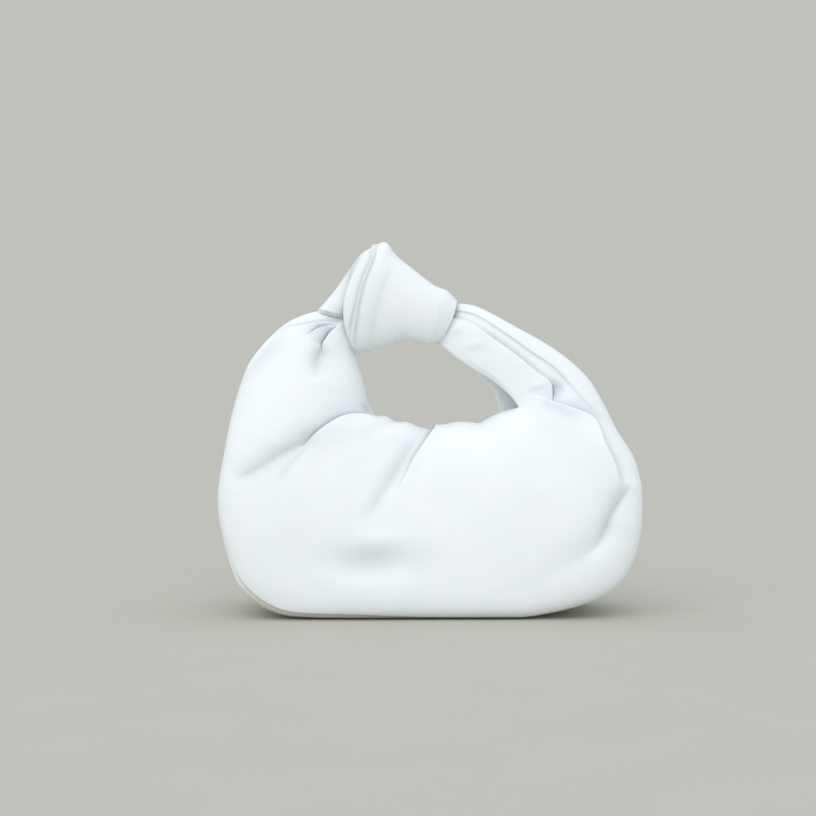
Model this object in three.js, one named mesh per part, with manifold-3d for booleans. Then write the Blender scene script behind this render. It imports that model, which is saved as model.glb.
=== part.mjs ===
// Soft leather hobo bag: a gathered pouch whose two horns are tied together in one knot over the hand hole.
// Millimetres, +Z up. The bag stands on z = 0 and faces -Y, and X runs along its length.
import * as THREE from "three";
import { mergeVertices } from "three/addons/utils/BufferGeometryUtils.js";
import Module from "manifold-3d";

const wasm = await Module();
wasm.setup();

// Leather, cloth and the space kept between pieces that are sewn or seated together
const leatherWall = 2;
const liningWall = 0.8;
const liningEase = 1.5; // the lining hangs a little inside the leather
const seamGap = 0.3;

// Pouch: half its length along X, and its full depth at the base
const halfLength = 150;
const bodyDepth = 112;
const tubeDepth = 72; // sections up to this deep are plain tubes, as in the horns
const plump = 0.64; // 1 is an elliptic section; less is fuller
const slump = 2.4; // 1 is an upright section; more hangs its fullness low, as in the pouch
const baseHalfShare = 0.27; // half width of the base panel, as a share of the section's half girth
const liningTop = 0.93; // shares of the half girth that the lining and its pocket reach
const pocketTop = 0.8;

// Mouth: an arc in the XZ plane, swung about a centre high above the hand hole
const mouthCentre = new THREE.Vector2(10, 250);
const mouthRadius = 115.5;
const mouthHalfGap = 9.5;

// Zip: a coil chain on two tapes, sunk below the rim between two facings
const zipDrop = 11;
const zipStart = -26; // degrees round the mouth, from straight below its centre towards +X
const zipEnd = 38.5;
const tapeWall = 0.6;
const tapeInnerEdge = 1.2;
const tapeOuterEdge = 14;
const facingInnerFace = 7.4;
const facingWall = 1.4;
const facingTopDrop = 2.6;
const toothPitch = 4;
const toothWidth = 1.5;
const toothReach = 0.8; // past the middle of the chain
const coilHalfWidth = 2.6;
const coilHeight = 1.9;
const stopLength = 2.4;
const tabLength = 6;
const tabHalfWidth = 7;
const tabWall = 2.4;

// Slider and pull
const sliderDeg = -21; // where it stands with the zip closed
const sliderLength = 11;
const sliderHeadWidth = 10.5;
const sliderTailWidth = 8.4;
const sliderPlate = 1.2;
const flangeWall = 1.1;
const diamondHalfWidth = 1;
const diamondLength = 3;
const bridgeLength = 7.2;
const bridgeWidth = 1.8;
const bridgeBar = 1.2;
const bridgeInside = 2;
const pullLength = 24;
const pullWidth = 7;
const pullWall = 1.2;
const pullTilt = 3; // degrees up from the chain, so that its tip lies on the curved chain
const eyeHalfWidth = 1.6;
const eyeLength = 4.2;

// Knot: a wrapped cone of folded leather, from its wide left end to its narrow right end
const knotHeight = 231.5; // middle of the wide end, above the base
const knotLeft = new THREE.Vector2(-49, knotHeight);
const knotRight = new THREE.Vector2(11, knotHeight - 15);
const wrapWall = 5;
const tipGap = 1.4; // from the knot's flat ends to the tips of the horns
const wrapSections = [
  // share of the length, half height, half depth
  [0, 38, 27],
  [0.14, 40.5, 29],
  [0.5, 30, 26.5],
  [0.85, 22, 22],
  [1, 18.5, 19.5],
];
const loopDepth = 26;
const loopNose = new THREE.Vector2(-80, knotHeight - 9);

// Handle bands: two flat straps from the knot down into the right end of the mouth
const bandInnerFace = 4.3;
const bandWall = 3.5;
const bandTuck = 1.5; // below the rim
const bandEase = 1; // from the right horn's inner edge
const bandHoleSide = [
  [28, knotHeight - 50],
  [44.5, knotHeight - 65],
  [48, mouthCentre.y - 98],
];

const radians = THREE.MathUtils.degToRad;
const zipRadius = mouthRadius + zipDrop;

// A point in the XZ plane at an angle round the mouth and a distance from its centre
function mouthPoint(deg, radius, y = 0) {
  const angle = radians(deg);
  return new THREE.Vector3(
    mouthCentre.x + radius * Math.sin(angle),
    y,
    mouthCentre.y - radius * Math.cos(angle),
  );
}

// A point in the knot's own axes: along its axis from the left end, and square to it in the XZ plane
const knotAxis = knotRight.clone().sub(knotLeft).normalize();
const knotLength = knotRight.distanceTo(knotLeft);
function knotPoint(along, up, y = 0) {
  return new THREE.Vector3(
    knotLeft.x + along * knotAxis.x - up * knotAxis.y,
    y,
    knotLeft.y + along * knotAxis.y + up * knotAxis.x,
  );
}

// Stations of the skin, from the knot down the left horn, along the pouch and up the right horn to the knot.
// Each has a point on the outer edge, a point on the inner edge and the full depth of the section there.
const edgePoint = ([x, z]) => new THREE.Vector3(x, 0, z);
const station = (outer, inner, depth, gap) => ({ outer, inner, depth, gap });
const horn = (outer, inner, depth) => station(edgePoint(outer), edgePoint(inner), depth, seamGap / 2);
const pouch = (outer, deg, depth) =>
  station(edgePoint(outer), mouthPoint(deg, mouthRadius), depth, mouthHalfGap);
const stations = [
  station(knotPoint(-tipGap, -9), knotPoint(-tipGap, -27), 22, seamGap / 2),
  horn([-84, knotHeight - 13.5], [-65, knotHeight - 33.5], 34),
  horn([-112, knotHeight - 27.5], [-52, knotHeight - 53.5], 54),
  horn([-halfLength + 14, 166], [-46, mouthCentre.y - 93], 79),
  pouch([-halfLength + 4.5, 121], -27, 96),
  pouch([-halfLength, 90], -23, 103),
  pouch([-halfLength + 9, 44], -18, bodyDepth - 2),
  pouch([-halfLength + 38, 6], -12, bodyDepth),
  pouch([-60, 0], -5, bodyDepth),
  pouch([6, 0], 0, bodyDepth),
  pouch([62, 0], 5, bodyDepth),
  pouch([halfLength - 42, 15], 12, bodyDepth - 2),
  pouch([halfLength - 11, 42], 18, bodyDepth - 6),
  pouch([halfLength, 88], 24, 87),
  pouch([halfLength - 7, 121], 31, 75),
  pouch([halfLength - 19, 144], 37.5, 62),
  horn([halfLength - 34, 169], [85, mouthCentre.y - 80], 49),
  horn([90, knotHeight - 40], [68.7, knotHeight - 48.5], 41),
  horn([56, knotHeight - 21.5], [46, knotHeight - 31], 34),
  station(knotPoint(knotLength + tipGap, 14), knotPoint(knotLength + tipGap, 2), 24, seamGap / 2),
];
const uAt = (index) => index / (stations.length - 1);
const columnsPerStation = 3;
const baseMiddle = 9; // stations
const baseHalfColumns = 13; // columns of the skin from the middle of the base to its pointed ends

// The two edges as smooth curves. Their y carries half the depth on the outer one, half the gap on the inner
const edgeCurve = (points) => new THREE.CatmullRomCurve3(points, false, "centripetal");
const outerEdge = edgeCurve(stations.map((s) => s.outer.clone().setY(s.depth / 2)));
const innerEdge = edgeCurve(stations.map((s) => s.inner.clone().setY(s.gap)));

// Folds that gather the front from its mouth: a route in the XZ plane, its depth, and its reach to each side
const frontFolds = [
  { route: [[-56, 141], [-72, 133], [-89, 122], [-106, 113], [-128, 101]], depth: 5, reach: 13 },
  { route: [[1, 130], [-12, 110], [-24, 92], [-33, 79]], depth: 4.5, reach: 12 },
  { route: [[86, 151], [113, 143], [125, 117], [134, 97]], depth: 4.5, reach: 10 },
  { route: [[134, 88], [122, 63], [107, 47], [79, 31]], depth: 4, reach: 13 },
];
const foldSamples = 24;
for (const fold of frontFolds) {
  const corners = fold.route.map(([x, z]) => new THREE.Vector2(x, z));
  fold.points = new THREE.SplineCurve(corners).getPoints(foldSamples);
}

// How far the folds draw the front in at a place: most at the middle of a route, nothing at its ends
function foldDepth(x, z) {
  const place = new THREE.Vector2(x, z);
  return frontFolds.reduce((sum, { points, depth, reach }) => {
    const away = points.map((p) => p.distanceTo(place));
    const nearest = Math.min(...away);
    const along = away.indexOf(nearest) / foldSamples;
    return sum + depth * Math.exp(-((nearest / reach) ** 2)) * Math.sqrt(Math.sin(along * Math.PI));
  }, 0);
}

// Half a section, from the outer edge (0) to the inner edge (1): shares of the half depth and of the way in
function sectionShares(place, fullness) {
  const angle = place * Math.PI;
  const wide = Math.max(Math.sin(angle), 0) ** plump;
  const inward = ((1 - Math.cos(angle)) / 2) ** THREE.MathUtils.lerp(1, slump, fullness);
  return [wide, inward];
}

// The outer skin: u runs along the stations, s from the front rim (-1) by the bottom to the back rim (1)
function skin(u, s) {
  const outer = outerEdge.getPoint(u);
  const inner = innerEdge.getPoint(u);
  const halfDepth = outer.y;
  const halfGap = Math.max(inner.y, seamGap / 2);
  const fullness = THREE.MathUtils.smoothstep(2 * halfDepth, tubeDepth, bodyDepth);
  const [wide, inward] = sectionShares(Math.min(Math.abs(s), 1), fullness);
  const x = THREE.MathUtils.lerp(outer.x, inner.x, inward);
  const z = THREE.MathUtils.lerp(Math.max(outer.z, 0), inner.z, inward);
  const drawn = s < 0 ? wide * foldDepth(x, z) : 0;
  const y = wide * halfDepth + inward ** 8 * halfGap - drawn;
  return new THREE.Vector3(x, Math.sign(s) * y, z);
}

// A point of the skin moved inwards, square to it
const uStep = 1e-3;
const sStep = 0.02;
function skinInset(u, s, inset) {
  const clampU = (value) => THREE.MathUtils.clamp(value, 0, 1);
  const clampS = (value) => THREE.MathUtils.clamp(value, -1, 1);
  const alongU = skin(clampU(u + uStep), s).sub(skin(clampU(u - uStep), s));
  const alongS = skin(u, clampS(s + sStep)).sub(skin(u, clampS(s - sStep)));
  const outward = alongS.cross(alongU).normalize();
  return skin(u, s).addScaledVector(outward, -inset);
}

const steps = (from, to, count) =>
  Array.from({ length: count + 1 }, (_, i) => THREE.MathUtils.lerp(from, to, i / count));

// A closed geometry from points and triangles, turned to face outwards
function closedGeometry(points, triangles) {
  let volume = 0;
  for (const [a, b, c] of triangles) {
    volume += points[a].dot(new THREE.Vector3().crossVectors(points[b], points[c]));
  }
  const faces = volume < 0 ? triangles.map(([a, b, c]) => [a, c, b]) : triangles;
  const geometry = new THREE.BufferGeometry().setFromPoints(points);
  geometry.setIndex(faces.flat());
  geometry.computeVertexNormals();
  return geometry;
}

const quad = (a, b, c, d) => [
  [a, b, c],
  [a, c, d],
];

// A closed sheet between two grids of points, each a list of columns
function sheetGeometry(top, bottom) {
  const columns = top.length;
  const rows = top[0].length;
  const at = (layer, c, r) => (layer * columns + c) * rows + r;
  const triangles = [];
  for (let c = 0; c + 1 < columns; c++) {
    for (let r = 0; r + 1 < rows; r++) {
      triangles.push(...quad(at(0, c, r), at(0, c, r + 1), at(0, c + 1, r + 1), at(0, c + 1, r)));
      triangles.push(...quad(at(1, c, r), at(1, c + 1, r), at(1, c + 1, r + 1), at(1, c, r + 1)));
    }
    triangles.push(...quad(at(0, c, 0), at(0, c + 1, 0), at(1, c + 1, 0), at(1, c, 0)));
    const last = rows - 1;
    triangles.push(...quad(at(0, c + 1, last), at(0, c, last), at(1, c, last), at(1, c + 1, last)));
  }
  for (let r = 0; r + 1 < rows; r++) {
    const end = columns - 1;
    triangles.push(...quad(at(0, 0, r + 1), at(0, 0, r), at(1, 0, r), at(1, 0, r + 1)));
    triangles.push(...quad(at(0, end, r), at(0, end, r + 1), at(1, end, r + 1), at(1, end, r)));
  }
  return closedGeometry([...top.flat(), ...bottom.flat()], triangles);
}

// A sheet that follows the skin between two insets; rowsOf gives its places across the section at each u.
// A sheet of one half (side -1 or 1) keeps clear of the middle plane, where the other half begins.
function skinSheet(us, rowsOf, side, inset, thick) {
  const grid = (depth) =>
    us.map((u) =>
      rowsOf(u).map((row) => {
        const point = skinInset(u, side ? side * row : row, depth);
        return side ? point.setY(side * Math.max(side * point.y, seamGap / 2)) : point;
      }),
    );
  return sheetGeometry(grid(inset), grid(inset + thick));
}

// A closed loft through rings of points with the same count
function loftGeometry(rings) {
  const count = rings[0].length;
  const points = rings.flat();
  const triangles = [];
  for (let i = 0; i + 1 < rings.length; i++) {
    for (let k = 0; k < count; k++) {
      const next = (k + 1) % count;
      const [a, b] = [i * count + k, i * count + next];
      triangles.push(...quad(a, b, b + count, a + count));
    }
  }
  const lastRing = (rings.length - 1) * count;
  for (let k = 1; k + 1 < count; k++) {
    triangles.push([0, k + 1, k], [lastRing, lastRing + k, lastRing + k + 1]);
  }
  return closedGeometry(points, triangles);
}

// A closed wall between two lofts, open at both ends
function tubeGeometry(outside, inside) {
  const [count, sides] = [outside.length, outside[0].length];
  const at = (layer, i, k) => (layer * count + i) * sides + (k % sides);
  const triangles = [];
  for (let k = 0; k < sides; k++) {
    for (let i = 0; i + 1 < count; i++) {
      triangles.push(...quad(at(0, i, k), at(0, i, k + 1), at(0, i + 1, k + 1), at(0, i + 1, k)));
      triangles.push(...quad(at(1, i, k), at(1, i + 1, k), at(1, i + 1, k + 1), at(1, i, k + 1)));
    }
    const end = count - 1;
    triangles.push(...quad(at(0, 0, k + 1), at(0, 0, k), at(1, 0, k), at(1, 0, k + 1)));
    triangles.push(...quad(at(0, end, k), at(0, end, k + 1), at(1, end, k + 1), at(1, end, k)));
  }
  return closedGeometry([...outside.flat(), ...inside.flat()], triangles);
}

// A bar that follows the mouth's arc: a ring of [radius, y] points swept between two angles
function arcBar(section, fromDeg, toDeg, degStep = 3) {
  const count = Math.ceil((toDeg - fromDeg) / degStep);
  return loftGeometry(
    steps(fromDeg, toDeg, count).map((deg) => section.map(([radius, y]) => mouthPoint(deg, radius, y))),
  );
}
const box = (r0, r1, y0, y1) => [
  [r0, y0],
  [r0, y1],
  [r1, y1],
  [r1, y0],
];
const arcDegrees = (length) => THREE.MathUtils.radToDeg(length / zipRadius);

// Joining solids
function solidOf(geometry) {
  const bare = geometry.clone();
  bare.deleteAttribute("normal");
  bare.deleteAttribute("uv");
  const merged = mergeVertices(bare, 1e-4);
  const mesh = new wasm.Mesh({
    numProp: 3,
    vertProperties: merged.attributes.position.array,
    triVerts: new Uint32Array(merged.index.array),
  });
  return new wasm.Manifold(mesh);
}
function joined(geometries) {
  const mesh = geometries.map(solidOf).reduce((a, b) => a.add(b)).getMesh();
  const geometry = new THREE.BufferGeometry();
  geometry.setAttribute("position", new THREE.BufferAttribute(mesh.vertProperties, 3));
  geometry.setIndex(new THREE.BufferAttribute(mesh.triVerts, 1));
  geometry.computeVertexNormals();
  return geometry;
}

// Materials
const standard = (color, roughness, metalness = 0) =>
  new THREE.MeshStandardMaterial({ color, roughness, metalness });
const leather = standard(0xf3f5f6, 0.5);
const liningCloth = standard(0xd8d0c2, 0.9);
const tapeCloth = standard(0xeceae4, 0.85);
const nylon = standard(0xf0efea, 0.45);
const zipMetal = standard(0xd9c48f, 0.28, 1);

const bag = new THREE.Group();
function add(name, geometry, material, parent = bag) {
  const mesh = new THREE.Mesh(geometry, material);
  mesh.name = name;
  parent.add(mesh);
  return mesh;
}

// Seam edges of the panels: a boat-shaped base in the middle, and a plain side seam beyond its ends
const seamPlace = (u) => Math.asin((seamGap / 2 / outerEdge.getPoint(u).y) ** (1 / plump)) / Math.PI;
function baseEdge(u) {
  const share = (u - uAt(baseMiddle)) / uAt(baseHalfColumns / columnsPerStation);
  return baseHalfShare * Math.sqrt(Math.max(0, 1 - share * share));
}
function seamShare(u) {
  const edge = baseEdge(u);
  return ((seamGap / 2) * sStep) / skin(u, edge + sStep).distanceTo(skin(u, edge));
}
const panelEdge = (u) => Math.max(baseEdge(u) + seamShare(u), seamPlace(u));

const sides = [
  ["front", -1],
  ["back", 1],
];
const rowsOn = (side) => (side < 0 ? frontRows : backRows);
const panelColumns = steps(0, 1, columnsPerStation * (stations.length - 1));
const columnsFrom = (first, last) =>
  panelColumns.slice(first * columnsPerStation, last * columnsPerStation + 1);
const backRows = [0.9, 0.8, 0.7, 0.6, 0.5, 0.4, 0.3]; // places across the section, shared by every sheet
const frontRows = [0.9, 0.85, 0.8, 0.75, ...backRows.slice(2)]; // closer where the folds are
const rimRow = 0.95;
const lowestRow = backRows.at(-1);

function addPanels() {
  for (const [name, side] of sides) {
    const rowsOf = (u) => [1, rimRow, ...rowsOn(side), ...steps(lowestRow, panelEdge(u), 3).slice(1)];
    add(`${name}_panel`, skinSheet(panelColumns, rowsOf, side, 0, leatherWall), leather);
  }
  const halfStations = baseHalfColumns / columnsPerStation;
  const baseColumns = columnsFrom(baseMiddle - halfStations, baseMiddle + halfStations);
  const baseRows = (u) => {
    const half = Math.max(baseEdge(u) - seamShare(u), seamPlace(u) / 4);
    return steps(-half, half, 8);
  };
  add("base_panel", skinSheet(baseColumns, baseRows, 0, 0, leatherWall), leather);
}

function addLining() {
  const inset = leatherWall + liningEase;
  const everySecond = (columns) => columns.filter((_, i) => i % 2 === 0); // enough where no fold runs
  const frontColumns = columnsFrom(3, 15);
  for (const [name, side] of sides) {
    const columns = side < 0 ? frontColumns : everySecond(frontColumns);
    const rowsOf = (u) => [liningTop, ...rowsOn(side), ...steps(lowestRow, seamPlace(u), 3).slice(1)];
    add(`${name}_lining`, skinSheet(columns, rowsOf, side, inset, liningWall), liningCloth);
  }
  const pocketRows = () => backRows.filter((row) => row <= pocketTop);
  const pocketInset = inset + liningWall + seamGap;
  const pocketColumns = everySecond(columnsFrom(7, 11));
  add("slip_pocket", skinSheet(pocketColumns, pocketRows, 1, pocketInset, liningWall), liningCloth);
}

// One row of the chain: a bead with a comb of teeth that reach between the other row's teeth
function toothRow(side, fromDeg, toDeg) {
  const [top, bottom] = [zipRadius - seamGap - coilHeight, zipRadius - seamGap];
  const beadInner = toothReach + 0.4;
  const across = (y0, y1) => box(top, bottom, side * y0, side * y1);
  const pieces = [arcBar(across(beadInner, coilHalfWidth), fromDeg, toDeg)];
  const first = side > 0 ? 0.75 : 0.25;
  const count = Math.floor((radians(toDeg - fromDeg) * zipRadius) / toothPitch) - 1;
  for (let k = 0; k < count; k++) {
    const start = fromDeg + arcDegrees((first + k) * toothPitch);
    pieces.push(arcBar(across(-toothReach, beadInner + 0.5), start, start + arcDegrees(toothWidth)));
  }
  return joined(pieces);
}

function addZip() {
  const chainStart = sliderDeg + arcDegrees(diamondHalfWidth);
  const chainEnd = zipEnd - arcDegrees(stopLength + 2 * seamGap);
  const coilTop = zipRadius - seamGap - coilHeight;
  for (const [name, side] of sides) {
    const sideways = (y0, y1) => (side < 0 ? [-y1, -y0] : [y0, y1]);
    const tape = box(zipRadius, zipRadius + tapeWall, ...sideways(tapeInnerEdge, tapeOuterEdge));
    add(`${name}_zip_tape`, arcBar(tape, zipStart, zipEnd), tapeCloth);
    const facingTop = mouthRadius + facingTopDrop;
    const facingSides = sideways(facingInnerFace, facingInnerFace + facingWall);
    const facing = box(facingTop, zipRadius - seamGap, ...facingSides);
    add(`${name}_facing`, arcBar(facing, zipStart, zipEnd), leather);
    add(`${name}_zip_teeth`, toothRow(side, chainStart, chainEnd), nylon);
    const stop = box(coilTop, zipRadius - seamGap, ...sideways(diamondHalfWidth + seamGap, coilHalfWidth));
    const stopStart = zipStart + arcDegrees(seamGap);
    add(`${name}_top_stop`, arcBar(stop, stopStart, stopStart + arcDegrees(stopLength) / 2), zipMetal);
  }
  const bottomStop = box(coilTop, zipRadius - seamGap, -coilHalfWidth, coilHalfWidth);
  add("bottom_stop", arcBar(bottomStop, zipEnd - arcDegrees(stopLength + seamGap), zipEnd), zipMetal);
  const tab = box(zipRadius - tabWall / 2, zipRadius + tabWall / 2, -tabHalfWidth, tabHalfWidth);
  const [gap, reach] = [arcDegrees(seamGap), arcDegrees(tabLength)];
  add("left_zip_tab", arcBar(tab, zipStart - gap - reach, zipStart - gap), leather);
  add("right_zip_tab", arcBar(tab, zipEnd + gap, zipEnd + gap + reach), leather);
}

// A flat plate in the slider's axes: an outline in XY raised from z0 to z1
const outlineShape = (points) => new THREE.Shape(points.map(([x, y]) => new THREE.Vector2(x, y)));
function plate(shape, z0, z1) {
  const settings = { depth: z1 - z0, bevelEnabled: false, curveSegments: 8 };
  return new THREE.ExtrudeGeometry(shape, settings).translate(0, 0, z0);
}

function addSlider() {
  // The slider's own axes: X along the chain, Z up out of the bag, origin on the tape's top face
  const slider = new THREE.Group();
  slider.position.copy(mouthPoint(sliderDeg, zipRadius));
  slider.rotation.y = -radians(sliderDeg);
  bag.add(slider);

  const sagitta = sliderLength ** 2 / 8 / zipRadius;
  const half = sliderLength / 2;
  const lowTop = -tapeWall - seamGap;
  const highBottom = seamGap + coilHeight + seamGap + sagitta;
  const highTop = highBottom + sliderPlate;
  const shield = outlineShape([
    [-half, -sliderHeadWidth / 2 + 1.5],
    [-half + 1.5, -sliderHeadWidth / 2],
    [half, -sliderTailWidth / 2],
    [half, sliderTailWidth / 2],
    [-half + 1.5, sliderHeadWidth / 2],
    [-half, sliderHeadWidth / 2 - 1.5],
  ]);
  const diamond = outlineShape([
    [-half + 0.4, 0],
    [-half + 1.2, -diamondHalfWidth],
    [-half + diamondLength, 0],
    [-half + 1.2, diamondHalfWidth],
  ]);
  const flangeInner = coilHalfWidth + seamGap;
  const flanges = [-1, 1].map((side) =>
    plate(
      outlineShape([
        [-half + 1.2, side * flangeInner],
        [half, side * flangeInner],
        [half, side * (flangeInner + flangeWall)],
        [-half + 1.2, side * (flangeInner + flangeWall)],
      ]),
      seamGap + sagitta,
      highBottom + sliderPlate / 2,
    ),
  );
  const foot = bridgeLength / 2;
  const bridgeOutline = outlineShape([
    [-foot, -sliderPlate / 2],
    [-foot + bridgeBar, -sliderPlate / 2],
    [-foot + bridgeBar, bridgeInside],
    [foot - bridgeBar, bridgeInside],
    [foot - bridgeBar, -sliderPlate / 2],
    [foot, -sliderPlate / 2],
    [foot, bridgeInside + bridgeBar],
    [-foot, bridgeInside + bridgeBar],
  ]);
  const bridge = plate(bridgeOutline, -bridgeWidth / 2, bridgeWidth / 2);
  bridge.rotateX(Math.PI / 2).translate(0, 0, highTop);
  const body = joined([
    plate(shield, highBottom, highTop),
    plate(shield, lowTop - sliderPlate, lowTop),
    plate(diamond, lowTop - sliderPlate / 2, highBottom + sliderPlate / 2),
    ...flanges,
    bridge,
  ]);
  add("zip_slider", body, zipMetal, slider);

  // The pull hinges on its crossbar, which lies under the bridge
  const pull = new THREE.Group();
  pull.position.set(0, 0, highTop + seamGap + pullWall / 2);
  pull.rotation.y = -radians(pullTilt);
  slider.add(pull);
  const halfWidth = pullWidth / 2;
  const back = pullWall / 2;
  const tab = new THREE.Shape();
  tab.moveTo(-back, -halfWidth);
  tab.lineTo(pullLength - halfWidth, -halfWidth);
  tab.absarc(pullLength - halfWidth, 0, halfWidth, -Math.PI / 2, Math.PI / 2, false);
  tab.lineTo(-back, halfWidth);
  tab.closePath();
  const eye = new THREE.Path();
  eye.moveTo(back, -eyeHalfWidth);
  eye.lineTo(back, eyeHalfWidth);
  eye.lineTo(back + eyeLength, eyeHalfWidth);
  eye.lineTo(back + eyeLength, -eyeHalfWidth);
  eye.closePath();
  tab.holes.push(eye);
  add("zip_pull", plate(tab, -pullWall / 2, pullWall / 2), zipMetal, pull);
}

// Rings of the knot, square to its axis
const ringSides = 24;
function knotRing(along, halfHeight, halfDepth) {
  return Array.from({ length: ringSides }, (_, k) => {
    const angle = (k / ringSides) * 2 * Math.PI;
    return knotPoint(along, halfHeight * Math.cos(angle), halfDepth * Math.sin(angle));
  });
}

function addKnot() {
  const profile = edgeCurve(wrapSections.map((section) => new THREE.Vector3(...section)));
  const sections = steps(0, 1, 8).map((t) => profile.getPoint(t));
  const rings = (inset) => sections.map((p) => knotRing(p.x * knotLength, p.y - inset, p.z - inset));
  add("knot_wrap", tubeGeometry(rings(0), rings(wrapWall)), leather);
  add("knot_core", loftGeometry(rings(wrapWall + seamGap)), leather);

  // The loop comes out of the knot's wide end over the left horn, and closes to a nose on the horn's top
  const root = [-6, 4, 18, 30].map((up) => knotPoint(-seamGap, up));
  const outline = new THREE.Shape();
  outline.moveTo(root[0].x, root[0].z);
  for (const p of root.slice(1)) {
    outline.lineTo(p.x, p.z);
  }
  const shoulder = knotPoint(-12, 17);
  outline.quadraticCurveTo(shoulder.x, shoulder.z, loopNose.x, loopNose.y + 1.5);
  outline.lineTo(loopNose.x, loopNose.y);
  outline.closePath();
  const loop = plate(outline, -loopDepth / 2, loopDepth / 2).rotateX(Math.PI / 2);
  add("knot_loop", loop, leather);
}

function addHandleBands() {
  const tucked = mouthRadius + bandTuck;
  const holeSide = edgeCurve([
    knotPoint(knotLength + seamGap, -17.5),
    ...bandHoleSide.map(edgePoint),
    mouthPoint(19.5, tucked),
  ]);
  // The other side runs along the right horn's inner edge
  const hornSide = edgeCurve([
    knotPoint(knotLength + seamGap, 0),
    ...[18, 17, 16].map((k) => {
      const edge = innerEdge.getPoint(uAt(k)).setY(0);
      const across = holeSide.getPoint((19 - k) / 4).sub(edge).setLength(bandEase);
      return edge.add(across);
    }),
    mouthPoint(34, tucked),
  ]);
  const columns = steps(0, 1, 12);
  const rows = steps(0, 1, 3);
  for (const [name, side] of sides) {
    const face = (y) =>
      columns.map((t) =>
        rows.map((share) => holeSide.getPoint(t).lerp(hornSide.getPoint(t), share).setY(side * y)),
      );
    add(`${name}_handle_band`, sheetGeometry(face(bandInnerFace + bandWall), face(bandInnerFace)), leather);
  }
}

addPanels();
addLining();
addZip();
addSlider();
addKnot();
addHandleBands();

export default bag;
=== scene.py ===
import math

import bpy
import bmesh
import numpy as np
from mathutils import Matrix, Vector, noise


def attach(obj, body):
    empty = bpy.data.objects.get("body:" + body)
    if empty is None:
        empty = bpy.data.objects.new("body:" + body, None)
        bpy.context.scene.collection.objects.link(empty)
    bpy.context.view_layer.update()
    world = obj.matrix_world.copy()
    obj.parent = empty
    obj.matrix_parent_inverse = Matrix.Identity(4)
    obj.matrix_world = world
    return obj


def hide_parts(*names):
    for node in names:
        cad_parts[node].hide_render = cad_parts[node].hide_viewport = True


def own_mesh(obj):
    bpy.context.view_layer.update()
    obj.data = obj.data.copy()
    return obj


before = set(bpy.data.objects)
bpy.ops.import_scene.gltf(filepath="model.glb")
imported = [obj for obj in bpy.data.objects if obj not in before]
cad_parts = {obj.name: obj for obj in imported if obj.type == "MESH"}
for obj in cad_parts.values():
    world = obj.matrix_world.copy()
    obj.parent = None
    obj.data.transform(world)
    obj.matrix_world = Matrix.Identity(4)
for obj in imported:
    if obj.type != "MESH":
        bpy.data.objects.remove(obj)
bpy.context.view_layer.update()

mmPerMetre = 1000
metresPerMm = 1 / mmPerMetre
weldMm = 0.0001  # points closer than this are one

# The eye that took the photo: places read off the photo are pixels of its square frame
photoEye = {
    "imageSide": 816,
    "mmPerPixel": 0.7229,  # in the bag's middle plane, y = 0
    "middlePixel": 430.5,  # column on which the bag's middle stands
    "distance": 1084.0,  # mm from the eye to the middle plane
    "height": 146.5,  # mm above the floor, looking level
}
centrePixel = photoEye["imageSide"] / 2
eyeX = (centrePixel - photoEye["middlePixel"]) * photoEye["mmPerPixel"]


def fromPhoto(pixels, y=0.0):
    # mm places (x, z) at depth y that the eye sees at these pixels
    spread = photoEye["mmPerPixel"] * (photoEye["distance"] + np.asarray(y)) / photoEye["distance"]
    pixels = np.asarray(pixels, float)
    x = eyeX + (pixels[..., 0] - centrePixel) * spread
    z = photoEye["height"] - (pixels[..., 1] - centrePixel) * spread
    return np.stack([x, z], -1)


def toPhoto(points):
    # pixels at which the eye sees these mm points
    spread = photoEye["mmPerPixel"] * (photoEye["distance"] + points[..., 1]) / photoEye["distance"]
    column = centrePixel + (points[..., 0] - eyeX) / spread
    row = centrePixel - (points[..., 2] - photoEye["height"]) / spread
    return np.stack([column, row], -1)


def smoothStep(low, high, value):
    t = np.clip((value - low) / (high - low), 0, 1)
    return t * t * (3 - 2 * t)


def through(rows, u):
    # smooth values at u through rows of (place, value, value ...)
    rows = np.asarray(rows, float)
    places, values = rows[:, 0], rows[:, 1:]
    slopes = np.gradient(values, places, axis=0)
    u = np.clip(np.asarray(u, float), places[0], places[-1])
    i = np.clip(np.searchsorted(places, u, side="right") - 1, 0, len(places) - 2)
    width = (places[i + 1] - places[i])[..., None]
    t = ((u - places[i]) / width[..., 0])[..., None]
    start = values[i] * (1 + 2 * t) * (1 - t) ** 2 + slopes[i] * width * t * (1 - t) ** 2
    end = values[i + 1] * t * t * (3 - 2 * t) + slopes[i + 1] * width * t * t * (t - 1)
    return start + end


def rounded(value, power):
    # a sine or cosine made squarer by a power under 1
    return np.sign(value) * np.abs(value) ** power


def level(rows, u):
    # straight lines between rows of (place, value)
    rows = np.asarray(rows, float)
    return np.interp(u, rows[:, 0], rows[:, 1])


def unit(vectors):
    # the same ways, one long; a way of no length stays so
    return vectors / np.maximum(np.linalg.norm(vectors, axis=-1, keepdims=True), 1e-9)


def normalsOf(points):
    return unit(np.cross(np.gradient(points, axis=0), np.gradient(points, axis=1)))


def withDepth(flat, y):
    # (x, z) places at depth y as mm points
    return np.stack([flat[..., 0], np.broadcast_to(y, flat.shape[:-1]), flat[..., 1]], -1)


def ringGrid(along, turn):
    # shares along a tube, 0 to 1, and angles round it, as one grid
    return np.broadcast_arrays(np.linspace(0, 1, along + 1)[:, None], turn[None, :])


def linkPiece(name, bm, material):
    for face in bm.faces:
        face.smooth = True
    mesh = bpy.data.meshes.new(name)
    bm.to_mesh(mesh)
    bm.free()
    piece = bpy.data.objects.new(name, mesh)
    bpy.context.scene.collection.objects.link(piece)
    piece.data.materials.append(material)
    return piece


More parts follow.
